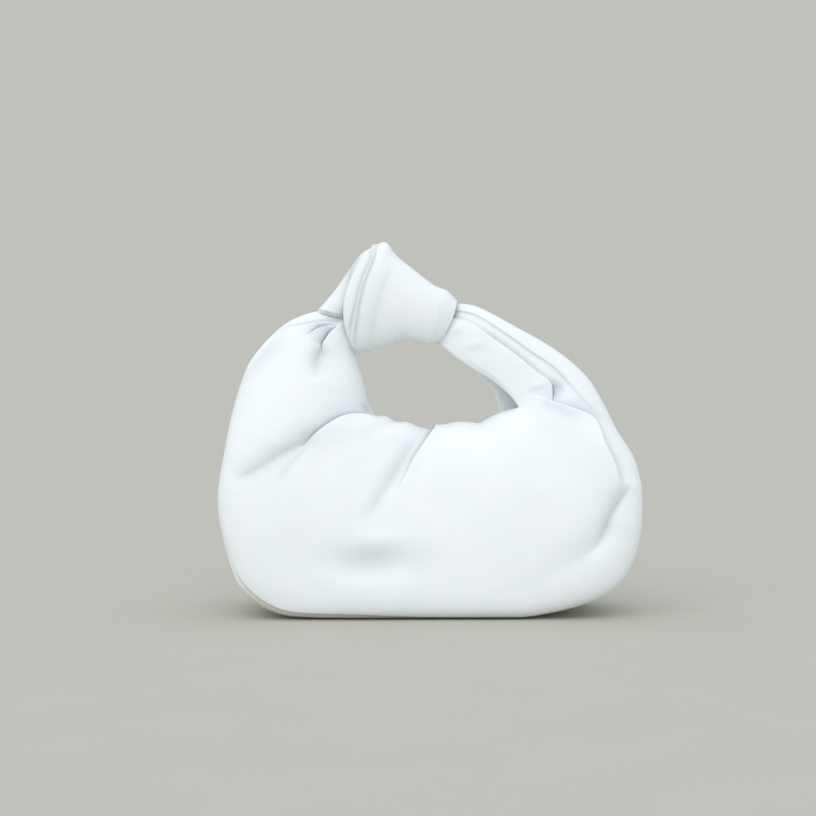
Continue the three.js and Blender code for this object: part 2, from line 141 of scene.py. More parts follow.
def gridPiece(name, points, material, turned=False, ringed=False, capped=False, shade=None, crisp=False):
    # a grid of quads laid on an array of mm points, columns by rows; shade is the painted shade at each
    # point, kept as the foldShade attribute, and a crisp grid keeps a hard edge along its first row
    columns, rows = points.shape[0] - 1, points.shape[1] - 1
    bm = bmesh.new()
    bmesh.ops.create_grid(bm, x_segments=columns, y_segments=rows, size=0.5)
    layer = bm.verts.layers.float.new("foldShade")
    edgeRow = set()
    for vert in bm.verts:
        i = round((vert.co.x + 0.5) * columns)
        j = round((vert.co.y + 0.5) * rows)
        vert.co = Vector(points[i, j]) * metresPerMm
        if shade is not None:
            vert[layer] = shade[i, j]
        if j in (0, rows):
            edgeRow.add(vert)
    for edge in bm.edges:
        edge.smooth = not (crisp and edge.verts[0] in edgeRow and edge.verts[1] in edgeRow)
    if ringed:
        bmesh.ops.remove_doubles(bm, verts=bm.verts, dist=weldMm * metresPerMm)
    if capped:
        openEdges = [e for e in bm.edges if e.is_boundary]
        bmesh.ops.holes_fill(bm, edges=openEdges, sides=0)
    if turned:
        bmesh.ops.reverse_faces(bm, faces=bm.faces)
    return linkPiece(name, bm, material)


def thicken(piece, wall):
    # wall in mm, laid inwards from the face
    solid = piece.modifiers.new("wall", "SOLIDIFY")
    solid.thickness = wall * metresPerMm
    solid.offset = -1
    solid.use_even_offset = False
    return piece


def finishPiece(piece, body, slot, *nodes):
    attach(piece, body)
    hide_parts(*nodes)
    print("made", piece.name, len(piece.data.vertices), "points")


# Materials


def hexColour(code):
    # sRGB hex to linear RGBA
    parts = [int(code[i:i + 2], 16) / 255 for i in (1, 3, 5)]
    linear = [p / 12.92 if p <= 0.04045 else ((p + 0.055) / 1.055) ** 2.4 for p in parts]
    return (*linear, 1.0)


def addNode(tree, kind, settings=None, links=None):
    # settings are the node's own properties or its input values; links are input: output socket
    node = tree.nodes.new(kind)
    for key, value in (settings or {}).items():
        if isinstance(key, int) or key in node.inputs:
            node.inputs[key].default_value = value
        else:
            setattr(node, key, value)
    for key, socket in (links or {}).items():
        tree.links.new(socket, node.inputs[key])
    return node


def newMaterial(name):
    # an empty material, its tree and its Object coordinates
    material = bpy.data.materials.new(name)
    material.use_nodes = True
    tree = material.node_tree
    tree.nodes.clear()
    return material, tree, addNode(tree, "ShaderNodeTexCoord").outputs["Object"]


def smoothCalfLeather(name, bright, dull, shadeColour):
    # Drum-dyed smooth calf: an even satin white, a faint pore grain close up, a slow, cloudy change of tone,
    # and painted shade, read from the foldShade attribute, that turns it towards the shade colour
    poreMm = 1.1  # pores of 0.3 mm drawn coarser so that they show
    grainMm = poreMm / 0.6
    cloudMm = 45.0
    material, tree, place = newMaterial(name)
    cloud = addNode(tree, "ShaderNodeTexNoise", {"Scale": mmPerMetre / cloudMm, "Detail": 2.0},
                    {"Vector": place})
    tone = addNode(tree, "ShaderNodeMix", {"data_type": "RGBA", 6: hexColour(dull), 7: hexColour(bright)},
                   {"Factor": cloud.outputs["Fac"]})
    # painted shade: the foldShade attribute mixes in the shade colour where the hide lies in shade
    folds = addNode(tree, "ShaderNodeAttribute", {"attribute_name": "foldShade"})
    shadedTone = addNode(tree, "ShaderNodeMix", {"data_type": "RGBA", 7: hexColour(shadeColour)},
                   {"Factor": folds.outputs["Fac"], 6: tone.outputs[2]})
    pores = addNode(tree, "ShaderNodeTexVoronoi", {"Scale": mmPerMetre / poreMm, "feature": "F1"},
                    {"Vector": place})
    grain = addNode(tree, "ShaderNodeTexNoise", {"Scale": mmPerMetre / grainMm, "Detail": 3.0},
                    {"Vector": place})
    gloss = addNode(tree, "ShaderNodeMapRange", {"To Min": 0.42, "To Max": 0.56},
                    {"Value": grain.outputs["Fac"]})
    lump = addNode(tree, "ShaderNodeBump", {"Strength": 0.10, "Distance": 0.0002},
                   {"Height": pores.outputs["Distance"]})
    fine = addNode(tree, "ShaderNodeBump", {"Strength": 0.08, "Distance": 0.0002},
                   {"Height": grain.outputs["Fac"], "Normal": lump.outputs["Normal"]})
    shader = addNode(tree, "ShaderNodeBsdfPrincipled",
                     {"IOR": 1.46, "Sheen Weight": 0.05, "Sheen Roughness": 0.5},
                     {"Base Color": shadedTone.outputs[2], "Roughness": gloss.outputs["Result"],
                      "Normal": fine.outputs["Normal"]})
    addNode(tree, "ShaderNodeOutputMaterial", None, {"Surface": shader.outputs["BSDF"]})
    return material


# white leather whose shade colour is the painted shade of its creases and seams
whiteLeather = smoothCalfLeather("whiteCalfLeather", "#F4F8F9", "#EFF4F5", "#8F9A9E")
# the base's leather: painted shade with the warm cast of light bounced off the floor
floorShadedLeather = smoothCalfLeather("floorShadedCalfLeather", "#F4F8F9", "#EFF4F5", "#D8D3C6")


def wovenCloth(name, light, dark, pitchMm, slant, roughness):
    # Cotton cloth: threads over and under each other, with slubs that come and go; slant is a twill's rise
    slubMm = 9 * pitchMm
    material, tree, place = newMaterial(name)
    turned = addNode(tree, "ShaderNodeMapping", {"Rotation": (0.0, math.radians(slant), 0.0)},
                     {"Vector": place})
    threads = {"Scale": mmPerMetre / pitchMm / (2 * math.pi), "Distortion": 0.6, "Detail": 1.0}
    warp = addNode(tree, "ShaderNodeTexWave", {**threads, "bands_direction": "X"},
                   {"Vector": turned.outputs["Vector"]})
    weft = addNode(tree, "ShaderNodeTexWave", {**threads, "bands_direction": "Z"},
                   {"Vector": turned.outputs["Vector"]})
    thread = addNode(tree, "ShaderNodeMath", {"operation": "MULTIPLY"},
                     {0: warp.outputs["Fac"], 1: weft.outputs["Fac"]})
    slub = addNode(tree, "ShaderNodeTexNoise", {"Scale": mmPerMetre / slubMm, "Detail": 3.0},
                   {"Vector": turned.outputs["Vector"]})
    weave = addNode(tree, "ShaderNodeMath", {"operation": "MULTIPLY_ADD", 1: 0.5},
                    {0: thread.outputs["Value"], 2: slub.outputs["Fac"]})
    tone = addNode(tree, "ShaderNodeMix", {"data_type": "RGBA", 6: hexColour(dark), 7: hexColour(light)},
                   {"Factor": weave.outputs["Value"]})
    lump = addNode(tree, "ShaderNodeBump", {"Strength": 0.35, "Distance": 0.0003},
                   {"Height": thread.outputs["Value"]})
    shader = addNode(tree, "ShaderNodeBsdfPrincipled",
                     {"Roughness": roughness, "Sheen Weight": 0.15, "Sheen Roughness": 0.6},
                     {"Base Color": tone.outputs[2], "Normal": lump.outputs["Normal"]})
    addNode(tree, "ShaderNodeOutputMaterial", None, {"Surface": shader.outputs["BSDF"]})
    return material


def mouldedNylon(name, light, dark):
    # Nylon coil: milky and a little glossy, with faint drawn streaks
    streakMm = 1.5
    material, tree, place = newMaterial(name)
    streak = addNode(tree, "ShaderNodeTexNoise", {"Scale": mmPerMetre / streakMm, "Detail": 2.0},
                     {"Vector": place})
    tone = addNode(tree, "ShaderNodeMix", {"data_type": "RGBA", 6: hexColour(dark), 7: hexColour(light)},
                   {"Factor": streak.outputs["Fac"]})
    gloss = addNode(tree, "ShaderNodeMapRange", {"To Min": 0.3, "To Max": 0.45},
                    {"Value": streak.outputs["Fac"]})
    shader = addNode(tree, "ShaderNodeBsdfPrincipled", {"IOR": 1.53},
                     {"Base Color": tone.outputs[2], "Roughness": gloss.outputs["Result"]})
    addNode(tree, "ShaderNodeOutputMaterial", None, {"Surface": shader.outputs["BSDF"]})
    return material


def platedZinc(name, light, dark):
    # Die-cast zinc with a pale gold plating: soft reflections, tumbled fine marks, duller where handled
    wearMm = 4.0
    markMm = 0.5
    material, tree, place = newMaterial(name)
    wear = addNode(tree, "ShaderNodeTexNoise", {"Scale": mmPerMetre / wearMm, "Detail": 4.0},
                   {"Vector": place})
    marks = addNode(tree, "ShaderNodeTexNoise", {"Scale": mmPerMetre / markMm, "Detail": 2.0},
                    {"Vector": place})
    tone = addNode(tree, "ShaderNodeMix", {"data_type": "RGBA", 6: hexColour(dark), 7: hexColour(light)},
                   {"Factor": wear.outputs["Fac"]})
    gloss = addNode(tree, "ShaderNodeMapRange", {"To Min": 0.2, "To Max": 0.42},
                    {"Value": wear.outputs["Fac"]})
    lump = addNode(tree, "ShaderNodeBump", {"Strength": 0.05, "Distance": 0.0001},
                   {"Height": marks.outputs["Fac"]})
    shader = addNode(tree, "ShaderNodeBsdfPrincipled", {"Metallic": 1.0},
                     {"Base Color": tone.outputs[2], "Roughness": gloss.outputs["Result"],
                      "Normal": lump.outputs["Normal"]})
    addNode(tree, "ShaderNodeOutputMaterial", None, {"Surface": shader.outputs["BSDF"]})
    return material


liningCotton = wovenCloth("liningCotton", "#F1ECE1", "#DFD8C9", 1.2, 0.0, 0.9)
zipTwill = wovenCloth("zipTapeTwill", "#EEF1F1", "#DCE1E2", 1.0, 35.0, 0.85)
nylonCoil = mouldedNylon("nylonCoil", "#F2F4F4", "#E3E7E8")
goldZinc = platedZinc("paleGoldZinc", "#E2CF9C", "#C9B37A")

print("materials made")

# The bag's skin. u runs from the knot down the left horn, along the base and up the right horn.

skin = {
    # u, column, row of the silhouette
    "outer": [
        (0, 372, 322), (1, 346, 314), (2, 322, 311.5), (3, 304, 315.3), (4, 287, 323.5), (5, 272, 336),
        (6, 258.5, 351), (7, 249, 365), (8, 243, 381.5), (9, 238, 398), (10, 233.5, 417),
        (12, 227.5, 455), (13, 224, 478), (14, 223, 500), (15, 226.5, 526), (16, 233.5, 552),
        (17, 244, 579), (18, 262, 597), (19, 288, 608), (20, 325, 610.7), (23, 445, 610.7),
        (25, 517, 610.7), (26, 547, 606), (27, 573, 599.5), (28, 596, 591), (29, 613, 579),
        (30, 626, 560), (31, 634, 537), (32, 637.5, 512), (33, 638, 488), (34, 635, 467), (35, 628, 450),
        (36, 618, 434), (38, 600, 399), (39, 589, 381), (40, 575, 366), (41, 556, 351), (43, 515, 327),
        (44, 496, 316.5), (45, 478, 307.5), (46, 461, 304), (47, 440, 306),
    ],
    # u, column, row of the hand hole's edge: down the left horn, along the rims and up the right horn
    "leftInner": [
        (0, 378, 350), (1, 368, 351), (2, 360, 352), (3, 356, 354), (4, 357, 360), (6, 362, 376),
        (8, 365.5, 391), (9, 367, 399.5),
    ],
    "frontRim": [
        (10, 370, 406.5), (11, 375.5, 413.5), (12, 381, 416.5), (13, 387, 418), (14, 395, 422),
        (15, 400, 422.3), (16, 405, 422), (17, 411, 423.3), (18, 417, 426), (19, 424, 428.2),
        (20, 430, 429), (21, 435.8, 430.4), (22, 440, 426), (23, 449, 423.3), (24, 460, 421.6),
        (25, 471, 422.2), (26, 479, 423), (27, 486, 419.5), (28, 494, 415), (29, 503, 411.5),
        (30, 512, 409), (31, 519.5, 406.5), (32, 526, 399.5), (33, 532, 393.8), (34, 541, 397),
        (35, 547, 399.5), (36, 549.5, 396), (37, 546.5, 386),
    ],
    "backRim": [  # lower and smoother
        (10, 371, 409), (11, 377, 417), (13, 389, 425), (16, 407, 430), (19, 425, 433.5), (22, 443, 433),
        (25, 469, 429.5), (28, 495, 421), (31, 519, 410), (33, 534, 400), (35, 547, 392), (36, 551, 389),
        (37, 547.5, 385),
    ],
    "rightInner": [
        (38, 541, 380), (39, 531, 372), (41, 505, 351), (43, 479, 334.5), (45, 457, 323.5),
        (46, 449, 322), (47, 433, 327),
    ],
    # u, and half the bag's depth in mm
    "halfDepth": [(0, 15), (1, 19.5), (2, 23), (3.5, 26.5), (5, 30.5), (8, 39), (11, 47), (14, 52),
                  (18, 55.5), (25, 55.5), (29, 54), (32, 46), (34, 38), (36, 29), (38, 22), (41, 18),
                  (44, 15), (46, 11.5), (47, 9)],
    # 1 is a plain tube; more holds the fullness low, as in the pouch
    "slump": [(0, 1), (8, 1.05), (11, 1.5), (14, 2.1), (17, 2.4), (25, 2.4), (29, 2.1), (32, 1.6),
              (35, 1.2), (37, 1), (47, 1)],
    # mm from the middle plane to a rim
    "halfGap": [(0, 0.15), (9, 0.15), (10, 0.8), (11, 4), (12, 8), (13, 9.5), (30, 9.5), (32, 9.3),
                (33.5, 9), (35, 8.2), (36, 7), (36.6, 4), (37.2, 0.6), (37.8, 0.15), (47, 0.15)],
    # mm kept free inside the folds on each side, where the slider and its pull stop
    "room": [(29, 0), (31, 7.6), (37.6, 7.6), (38.6, 0)],
    # where the panels are sewn to the base, as a share of the half depth
    "seam": [(0, 0.004), (2, 0.02), (3.5, 0.3), (5, 0.42), (12, 0.42), (15, 0.7), (17, 0.88), (19, 0.9),
             (21, 0.88), (23, 0.78), (25, 0.74), (27, 0.62), (29, 0.4), (31, 0.25), (33, 0.1),
             (35, 0.004), (47, 0.004)],
    "seamLeast": 0.004,
    "seamGap": 0.15,  # mm from the middle plane to a panel's edge
    # 1 is an elliptic section; less is flatter in front
    "plump": [(0, 0.64), (35, 0.64), (38.5, 0.42), (47, 0.42)],
    "last": 47.0,  # u at the knot's right end
    "rimOpens": 4,  # power by which the gap opens towards the rim
}


def seamAngle(u):
    seam = through(skin["seam"], u)[..., 0].clip(skin["seamLeast"], 1)
    return np.arcsin(seam ** (1 / level(skin["plump"], u)))


def innerEdge(u, side):
    rim = "frontRim" if side < 0 else "backRim"
    return through(skin["leftInner"] + skin[rim] + skin["rightInner"], u)


def skinPoint(u, angle, side):
    # mm points of the plain skin; angle runs from the silhouette, 0, to the inner edge, pi
    u, angle = np.broadcast_arrays(u, angle)
    gap = level(skin["halfGap"], u)
    outer = fromPhoto(through(skin["outer"], u))
    outer[..., 1] = np.maximum(outer[..., 1], 0)
    inner = fromPhoto(innerEdge(u, side), side * gap)
    slump = through(skin["slump"], u)[..., 0]
    half = through(skin["halfDepth"], u)[..., 0]
    wide = np.sin(angle).clip(0, 1) ** level(skin["plump"], u)
    inward = ((1 - np.cos(angle)) / 2) ** slump
    flat = outer + (inner - outer) * inward[..., None]
    y = skin["seamGap"] + (gap - skin["seamGap"]) * inward ** skin["rimOpens"] + half * wide
    return withDepth(flat, side * y)


# Folds, read off the photo as routes of pixels; each one also paints shade into the leather's colour

routeSteps = 10  # straight steps for each point of a route


def routeField(places, route):
    # share along the route, signed mm from it (positive on the right of travel) and the way to that side
    knots = np.column_stack([np.arange(len(route)), route])
    fine = through(knots, np.linspace(0, len(route) - 1, routeSteps * len(route)))
    lengths = np.concatenate([[0], np.cumsum(np.linalg.norm(np.diff(fine, axis=0), axis=1))])
    best = np.full(places.shape[:-1], np.inf)
    along = np.zeros_like(best)
    signed = np.zeros_like(best)
    way = np.zeros_like(places)
    for i in range(len(fine) - 1):
        step = fine[i + 1] - fine[i]
        size = np.linalg.norm(step)
        step = step / size
        rel = places - fine[i]
        t = np.clip(rel @ step, 0, size)
        off = rel - t[..., None] * step
        far = np.linalg.norm(off, axis=-1)
        closer = far < best
        cross = step[0] * rel[..., 1] - step[1] * rel[..., 0]
        best = np.where(closer, far, best)
        along = np.where(closer, (lengths[i] + t) / lengths[-1], along)
        signed = np.where(closer, np.where(cross >= 0, far, -far), signed)
        way = np.where(closer[..., None], np.array([-step[1], step[0]]), way)
    return along, signed * photoEye["mmPerPixel"], way


lapLook = {
    "hidden": 0.87,  # share of an overhang that hides the low side
    # line is the painted shadow line right under the edge, and lineShare the share of painted shade in it
    "line": 1.2,  # mm, the dark line right under the edge
    "lineShare": 0.5,  # of the darkness that is in that line
    "softEnd": 5.0,  # widths that the edge gains where a fold runs out
    "pushReach": 2.5,  # edges over which the overhang fades
}


def lap(route, over, rise, drop, edge, shade, amount, overhang=0):
    # one side of a route lies over the other: it stands up and overhangs, and the low side slopes down
    # under it; rise and drop are mm and the mm that they fade over, shade the darkness of the shade painted
    # on the low side and its reach in mm, and amount rows of share along and strength
    side = 1 if over == "right" else -1

    def field(places):
        along, signed, way = routeField(places, route)
        onto = signed * side  # mm onto the upper side
        strength = level(amount, along)
        soft = edge * (1 + lapLook["softEnd"] * (1 - strength) ** 2)  # crisp where the fold is deep
        turn = smoothStep(-soft, soft, onto)
        low = -drop[0] * np.exp(-np.abs(onto) / drop[1])
        high = rise[0] * np.exp(-(onto / rise[1]) ** 2)
        lift = (low * (1 - turn) + high * turn) * strength
        fade = np.exp(-(onto / (lapLook["pushReach"] * soft)) ** 2)
        push = overhang * (1 - 2 * turn) * fade * strength * side
        beyond = np.maximum(-onto - lapLook["hidden"] * overhang * strength, 0)
        line = np.exp(-(beyond / lapLook["line"]) ** 2)
        darkness = (1 - lapLook["lineShare"]) * np.exp(-beyond / shade[1]) + lapLook["lineShare"] * line
        return lift, way * push[..., None], shade[0] * darkness * (1 - turn) * strength

    return field


def valley(route, depth, widths, amount, sharp=2, shade=0):
    # a groove, or a ridge where its depth is negative, with its own width on each side; sharp 1 is a
    # crease and 2 a soft hollow, and shade the darkness of the shade painted along it
    def field(places):
        along, signed, way = routeField(places, route)
        width = np.where(signed > 0, widths[1], widths[0])
        hollow = np.exp(-np.abs(signed / width) ** sharp) * level(amount, along)
        return -depth * hollow, np.zeros_like(way), shade * hollow

    return field


def swell(at, reach, lift, turn=0, shade=0):
    # a soft bump or hollow with painted shade: reach in mm along and across an axis turned by so many degrees
    cosine, sine = math.cos(math.radians(turn)), math.sin(math.radians(turn))

    def field(places):
        rel = (places - np.array(at)) * photoEye["mmPerPixel"]
        a = rel[..., 0] * cosine + rel[..., 1] * sine
        b = rel[..., 1] * cosine - rel[..., 0] * sine
        bump = np.exp(-(a / reach[0]) ** 2 - (b / reach[1]) ** 2)
        return lift * bump, np.zeros_like(places), shade * bump

    return field


def foldField(places, folds):
    # mm of lift, sideways push in the photo's plane and painted shade of all folds together
    lift, shade = np.zeros((2, *places.shape[:-1]))
    push = np.zeros_like(places)
    for fold in folds:
        oneLift, onePush, oneShade = fold(places)
        lift += oneLift
        push += onePush
        shade = np.maximum(shade, oneShade)
    return lift, push, shade


frontFolds = [
    # under the left horn: the body's upper edge stands over the horn's foot, and a valley runs on from it
    lap([(380, 416), (360, 415), (348, 416.5), (337, 421), (327, 427.6), (317, 435.5), (309, 442),
        (300, 447), (290, 452)], "left", rise=(0.8, 10), drop=(6, 7), edge=1.3, overhang=4,
        shade=(0.75, 4),
        amount=[(0, 0.3), (0.12, 0.7), (0.4, 0.9), (0.68, 1), (0.78, 0.85), (0.9, 0.3), (1, 0)]),
    valley([(322, 431), (312, 438), (304, 443), (279, 456), (260, 468), (232, 482)], depth=3.2,
        widths=(5, 7), sharp=1.35, shade=0.42,
        amount=[(0, 0), (0.16, 0.9), (0.5, 0.8), (0.85, 0.6), (1, 0)]),
    valley([(315, 437), (303, 452), (292, 464), (273, 490)], depth=1.7, widths=(3.5, 5), sharp=1.4,
        shade=0.26, amount=[(0, 0), (0.2, 1), (0.5, 0.7), (1, 0)]),
    # the middle crease: its right side lies over its left
    lap([(437, 428), (431, 436), (423, 447.5), (414, 460.6), (406, 474), (398, 487), (389, 501)], "left",
        rise=(0.5, 14), drop=(5, 8), edge=1.4, overhang=3.4, shade=(0.6, 4),
        amount=[(0, 1), (0.4, 0.9), (0.7, 0.55), (1, 0)]),
    valley([(421, 433), (413, 445), (397.5, 469), (380, 497.5), (366, 522)], depth=2.0, widths=(5, 5),
        sharp=1.6, shade=0.24, amount=[(0, 0.3), (0.2, 0.8), (0.5, 1), (0.8, 0.7), (1, 0)]),
    # the body's upper right edge stands over the rolls of the right horn
    lap([(528, 390), (541, 397.5), (552, 402), (570, 408), (585, 413.5), (596, 422), (605, 443),
        (615, 463), (623, 480), (629, 490)], "right", rise=(2, 16), drop=(7, 9), edge=1.8, overhang=2.8,
        shade=(0.5, 4), amount=[(0, 0.45), (0.12, 1), (0.5, 1), (0.8, 0.75), (0.93, 0.4), (1, 0)]),
    valley([(599, 424), (607, 443), (617, 463), (626, 481)], depth=1.6, widths=(4, 1.5), sharp=1.4,
        shade=0.32, amount=[(0, 0.2), (0.4, 1), (0.8, 1), (1, 0.2)]),
    valley([(535, 401), (548, 406), (566, 412.5), (588, 421)], depth=0.9, widths=(2, 4), shade=0.22,
        amount=[(0, 0), (0.2, 1), (0.6, 0.9), (1, 0)]),
    valley([(634, 479), (629, 489), (622, 499), (615, 510), (609.5, 522), (604, 536), (596, 548),
        (584, 558)], depth=3.4, widths=(3.5, 6.5), sharp=1.15, shade=0.42,
        amount=[(0, 0), (0.12, 0.6), (0.3, 1), (0.6, 1), (0.8, 0.6), (1, 0)]),
    valley([(612, 520), (603, 538), (591, 551), (574, 561), (552, 571), (528, 583), (504, 595)], depth=2,
        widths=(8, 13), sharp=1.8, shade=0.12,
        amount=[(0, 0), (0.15, 1), (0.3, 1), (0.55, 0.4), (1, 0.15)]),
    # rolls of the right horn
    lap([(446, 310), (457, 311), (472, 314), (486, 321), (509, 336), (531, 352), (553.5, 367), (570, 384),
        (584, 399), (598, 413), (611, 427), (619, 442), (626, 461), (630, 478), (629, 490)], "left",
        rise=(0.6, 6), drop=(1.6, 4), edge=1.8, overhang=0.4, shade=(0.3, 2.5),
        amount=[(0, 1), (0.6, 0.9), (0.85, 0.5), (1, 0.2)]),
    valley([(454, 316), (466.5, 319.5), (480, 326.5), (499, 339.5), (519, 354.5), (539, 369.5),
        (555, 382.5), (573, 398), (590, 411)], depth=-2.6, widths=(5, 7),
        amount=[(0, 0.4), (0.2, 1), (0.7, 1), (1, 0)]),
    swell((556, 391), reach=(7, 6.5), lift=-4, shade=0.32),
    # gathers of the left horn, drawn in under the knot
    valley([(346, 320), (343, 319), (334, 315), (321, 312)], depth=1, widths=(1.8, 1.8), sharp=1.2,
        shade=0.4, amount=[(0, 0.2), (0.7, 1), (1, 0)]),
    lap([(347, 321), (341, 320), (325, 320.5), (308, 323.6), (288, 327), (272, 334)], "left",
        rise=(0.8, 6), drop=(1.8, 3.5), edge=0.9, overhang=1.4, shade=(0.65, 1.6),
        amount=[(0, 0.3), (0.2, 0.7), (0.5, 0.8), (1, 0)]),
    lap([(347, 321.5), (337, 323.5), (323, 327), (312, 332), (302, 338)], "left", rise=(0.8, 6),
        drop=(2.8, 4), edge=0.9, overhang=1.8, shade=(0.85, 2.0),
        amount=[(0, 0.15), (0.3, 0.5), (0.6, 1), (0.75, 0.8), (1, 0)]),
    lap([(347, 321), (341, 323), (334, 331), (328.5, 339.5), (323, 347), (319, 354)], "left",
        rise=(1.2, 9), drop=(6, 6), edge=1.2, overhang=3.6, shade=(1.0, 3.5),
        amount=[(0, 0.1), (0.2, 0.35), (0.5, 1), (0.75, 1), (1, 0)]),
    valley([(325, 343), (319, 354), (316, 366), (317, 380)], depth=3.5, widths=(6, 5), sharp=1.3,
        shade=0.5, amount=[(0, 0), (0.25, 1), (0.6, 0.7), (1, 0)]),
    # painted shadow lines along the wrap's left edge and its right end, where they lie on the horns
    valley([(345, 320), (345, 328), (347, 336), (353, 343), (356, 353)], depth=0.5, widths=(1.8, 1.8),
        sharp=1.2, shade=0.35, amount=[(0, 1), (0.8, 1), (1, 0.4)]),
    valley([(457, 301), (455, 313), (450.5, 320), (445, 334)], depth=0.8, widths=(3, 3), sharp=1.2,
        shade=0.45, amount=[(0, 1), (1, 1)]),
    valley([(250, 365), (259, 356), (272, 347), (290, 338)], depth=1.8, widths=(5, 7), shade=0.2,
        amount=[(0, 0.8), (0.35, 1), (1, 0)]),
    valley([(377, 412), (366, 408), (356, 403)], depth=2.5, widths=(3, 4), sharp=1.4, shade=0.45,
        amount=[(0, 1), (0.5, 1), (1, 0)]),
    # slack
    swell((369, 565), reach=(24, 11), turn=3, lift=-3, shade=0.2),
    swell((383, 564), reach=(38, 13), lift=-1.5, shade=0.08),
    swell((381, 541), reach=(16, 8), lift=1.5),
    swell((500, 480), reach=(55, 45), lift=4),
    swell((330, 510), reach=(45, 32), turn=-10, lift=3),
    swell((398, 425), reach=(7, 4), lift=-1.5),
    swell((478, 426), reach=(7, 4), lift=-1.5),
]

# the back isn't in the photo: the same kinds of fold, quieter
backFolds = [
    lap([(374, 424), (352, 428), (328, 440), (302, 455), (272, 472), (242, 490)], "left", rise=(1.5, 12),
        drop=(5.5, 11), edge=1.4, overhang=3.2, shade=(0.6, 6),
        amount=[(0, 0.4), (0.15, 0.9), (0.45, 1), (0.7, 0.5), (1, 0)]),
    lap([(472, 430), (474, 447), (480, 465), (489, 483), (500, 502)], "right", rise=(1.2, 14),
        drop=(5, 10), edge=1.4, overhang=3.2, shade=(0.5, 8), amount=[(0, 1), (0.5, 0.95), (1, 0)]),
    lap([(546, 398), (570, 410), (592, 424), (606, 448), (618, 478)], "right", rise=(2, 14), drop=(5, 9),
        edge=1.4, overhang=3, shade=(0.5, 4), amount=[(0, 0.5), (0.3, 1), (0.7, 0.8), (1, 0)]),
    lap([(628, 500), (614, 520), (600, 540), (575, 558), (540, 578)], "left", rise=(1, 14), drop=(4, 13),
        edge=2, overhang=2.6, shade=(0.4, 10), amount=[(0, 0), (0.3, 1), (0.6, 0.6), (1, 0)]),
    lap([(347, 322), (336, 331), (328, 343), (323, 356), (322, 370)], "left", rise=(2, 9), drop=(5, 7),
        edge=1.2, overhang=2.8, shade=(0.8, 3.5), amount=[(0, 0.5), (0.4, 1), (0.8, 0.6), (1, 0)]),
    lap([(347, 321), (326, 322), (304, 327), (286, 333)], "left", rise=(1.2, 6), drop=(3, 4), edge=0.9,
        overhang=2, shade=(0.8, 2), amount=[(0, 0.6), (0.4, 1), (1, 0)]),
    lap([(446, 310), (472, 314), (509, 336), (553.5, 367), (583, 397), (611, 425)], "left", rise=(0.6, 6),
        drop=(1.4, 4), edge=1, overhang=1.2, shade=(0.25, 2.5), amount=[(0, 1), (0.7, 0.9), (1, 0)]),
    swell((430, 540), reach=(40, 20), turn=10, lift=-3, shade=0.08),
    swell((360, 500), reach=(45, 35), lift=3),
]

# the two halves: name, way along y and folds
halves = (("front", -1, frontFolds), ("back", 1, backFolds))

# mm of uneven fullness, and mm from one swell to the next
slack = {"lift": 0.7, "wave": 42.0, "fineLift": 0.2, "fineWave": 15.0}


def slackLift(points):
    flat = points.reshape(-1, 3)
    broad = [noise.noise(Vector(p / slack["wave"])) for p in flat]
    fine = [noise.noise(Vector(p / slack["fineWave"])) for p in flat]
    return (np.array(broad) * slack["lift"] + np.array(fine) * slack["fineLift"]).reshape(points.shape[:-1])


panelGrid = {
    # u and columns per step from there on, closer where folds are
    "columns": [(0, 9), (9, 10), (16, 12), (19, 18), (24, 9), (30, 15), (38, 7), (47, 7)],
    "rows": 160,
    "seamRows": (0, 0.002, 0.006, 0.012),  # closer beside the seam
    "evenFrom": 0.02,  # where the other rows start
    "innerRows": 12,
    "wall": 1.6,  # mm
    "rimRows": 5,  # round the turned edge
    "seamFade": (0, 0.1),  # shares across over which folds grow from the seam
    "rimFade": (0.93, 1),  # and die out at a closed rim
    "rimOpen": (1, 6),  # mm of half gap from a closed rim to an open one
    "under": (7, 2),  # columns and rows around that the inner face stays under
    "spare": 1.2,  # times a fold's depth that the layers under it keep clear
    "insetTurn": (0, 0.06),  # shares across over which their inset turns square to the hide
    "floorClear": 0.3,  # mm
}


def panelColumns():
    steps = panelGrid["columns"]
    parts = [np.arange(a * n, b * n) / n for (a, n), (b, _) in zip(steps, steps[1:])]
    return np.concatenate(parts + [[skin["last"]]])


def panelAngles(u, r):
    # r runs from the base seam, 0, to the inner edge, 1
    start = seamAngle(u)
    return start + (math.pi - start) * r


def panelHold(u, r):
    # how much of a fold is left beside the seams
    openRim = smoothStep(*panelGrid["rimOpen"], level(skin["halfGap"], u))
    return smoothStep(*panelGrid["seamFade"], r) * (1 - smoothStep(*panelGrid["rimFade"], r) * (1 - openRim))


def keepClear(points, side):
    points[..., 1] = side * np.maximum(side * points[..., 1], skin["seamGap"])
    points[..., 2] = np.maximum(points[..., 2], panelGrid["floorClear"])
    return points


# mm that the panels and the base under them go in at the seam, mm that it fades over, and its painted shade
seamTuck = {"depth": 0.9, "under": 2.2, "width": 1.6, "shade": 0.6}


def towardsHole(u):
    # the way from the silhouette to the hand hole
    across = fromPhoto(innerEdge(u, 1)) - fromPhoto(through(skin["outer"], u))
    return withDepth(unit(across), 0)


def tucked(points, u, seam, depth):
    # drawn in towards the hand hole near the seam
    tuck = np.exp(-(np.linalg.norm(points - seam, axis=-1) / seamTuck["width"]) ** 2)
    return points + towardsHole(u) * (depth * tuck)[..., None], tuck


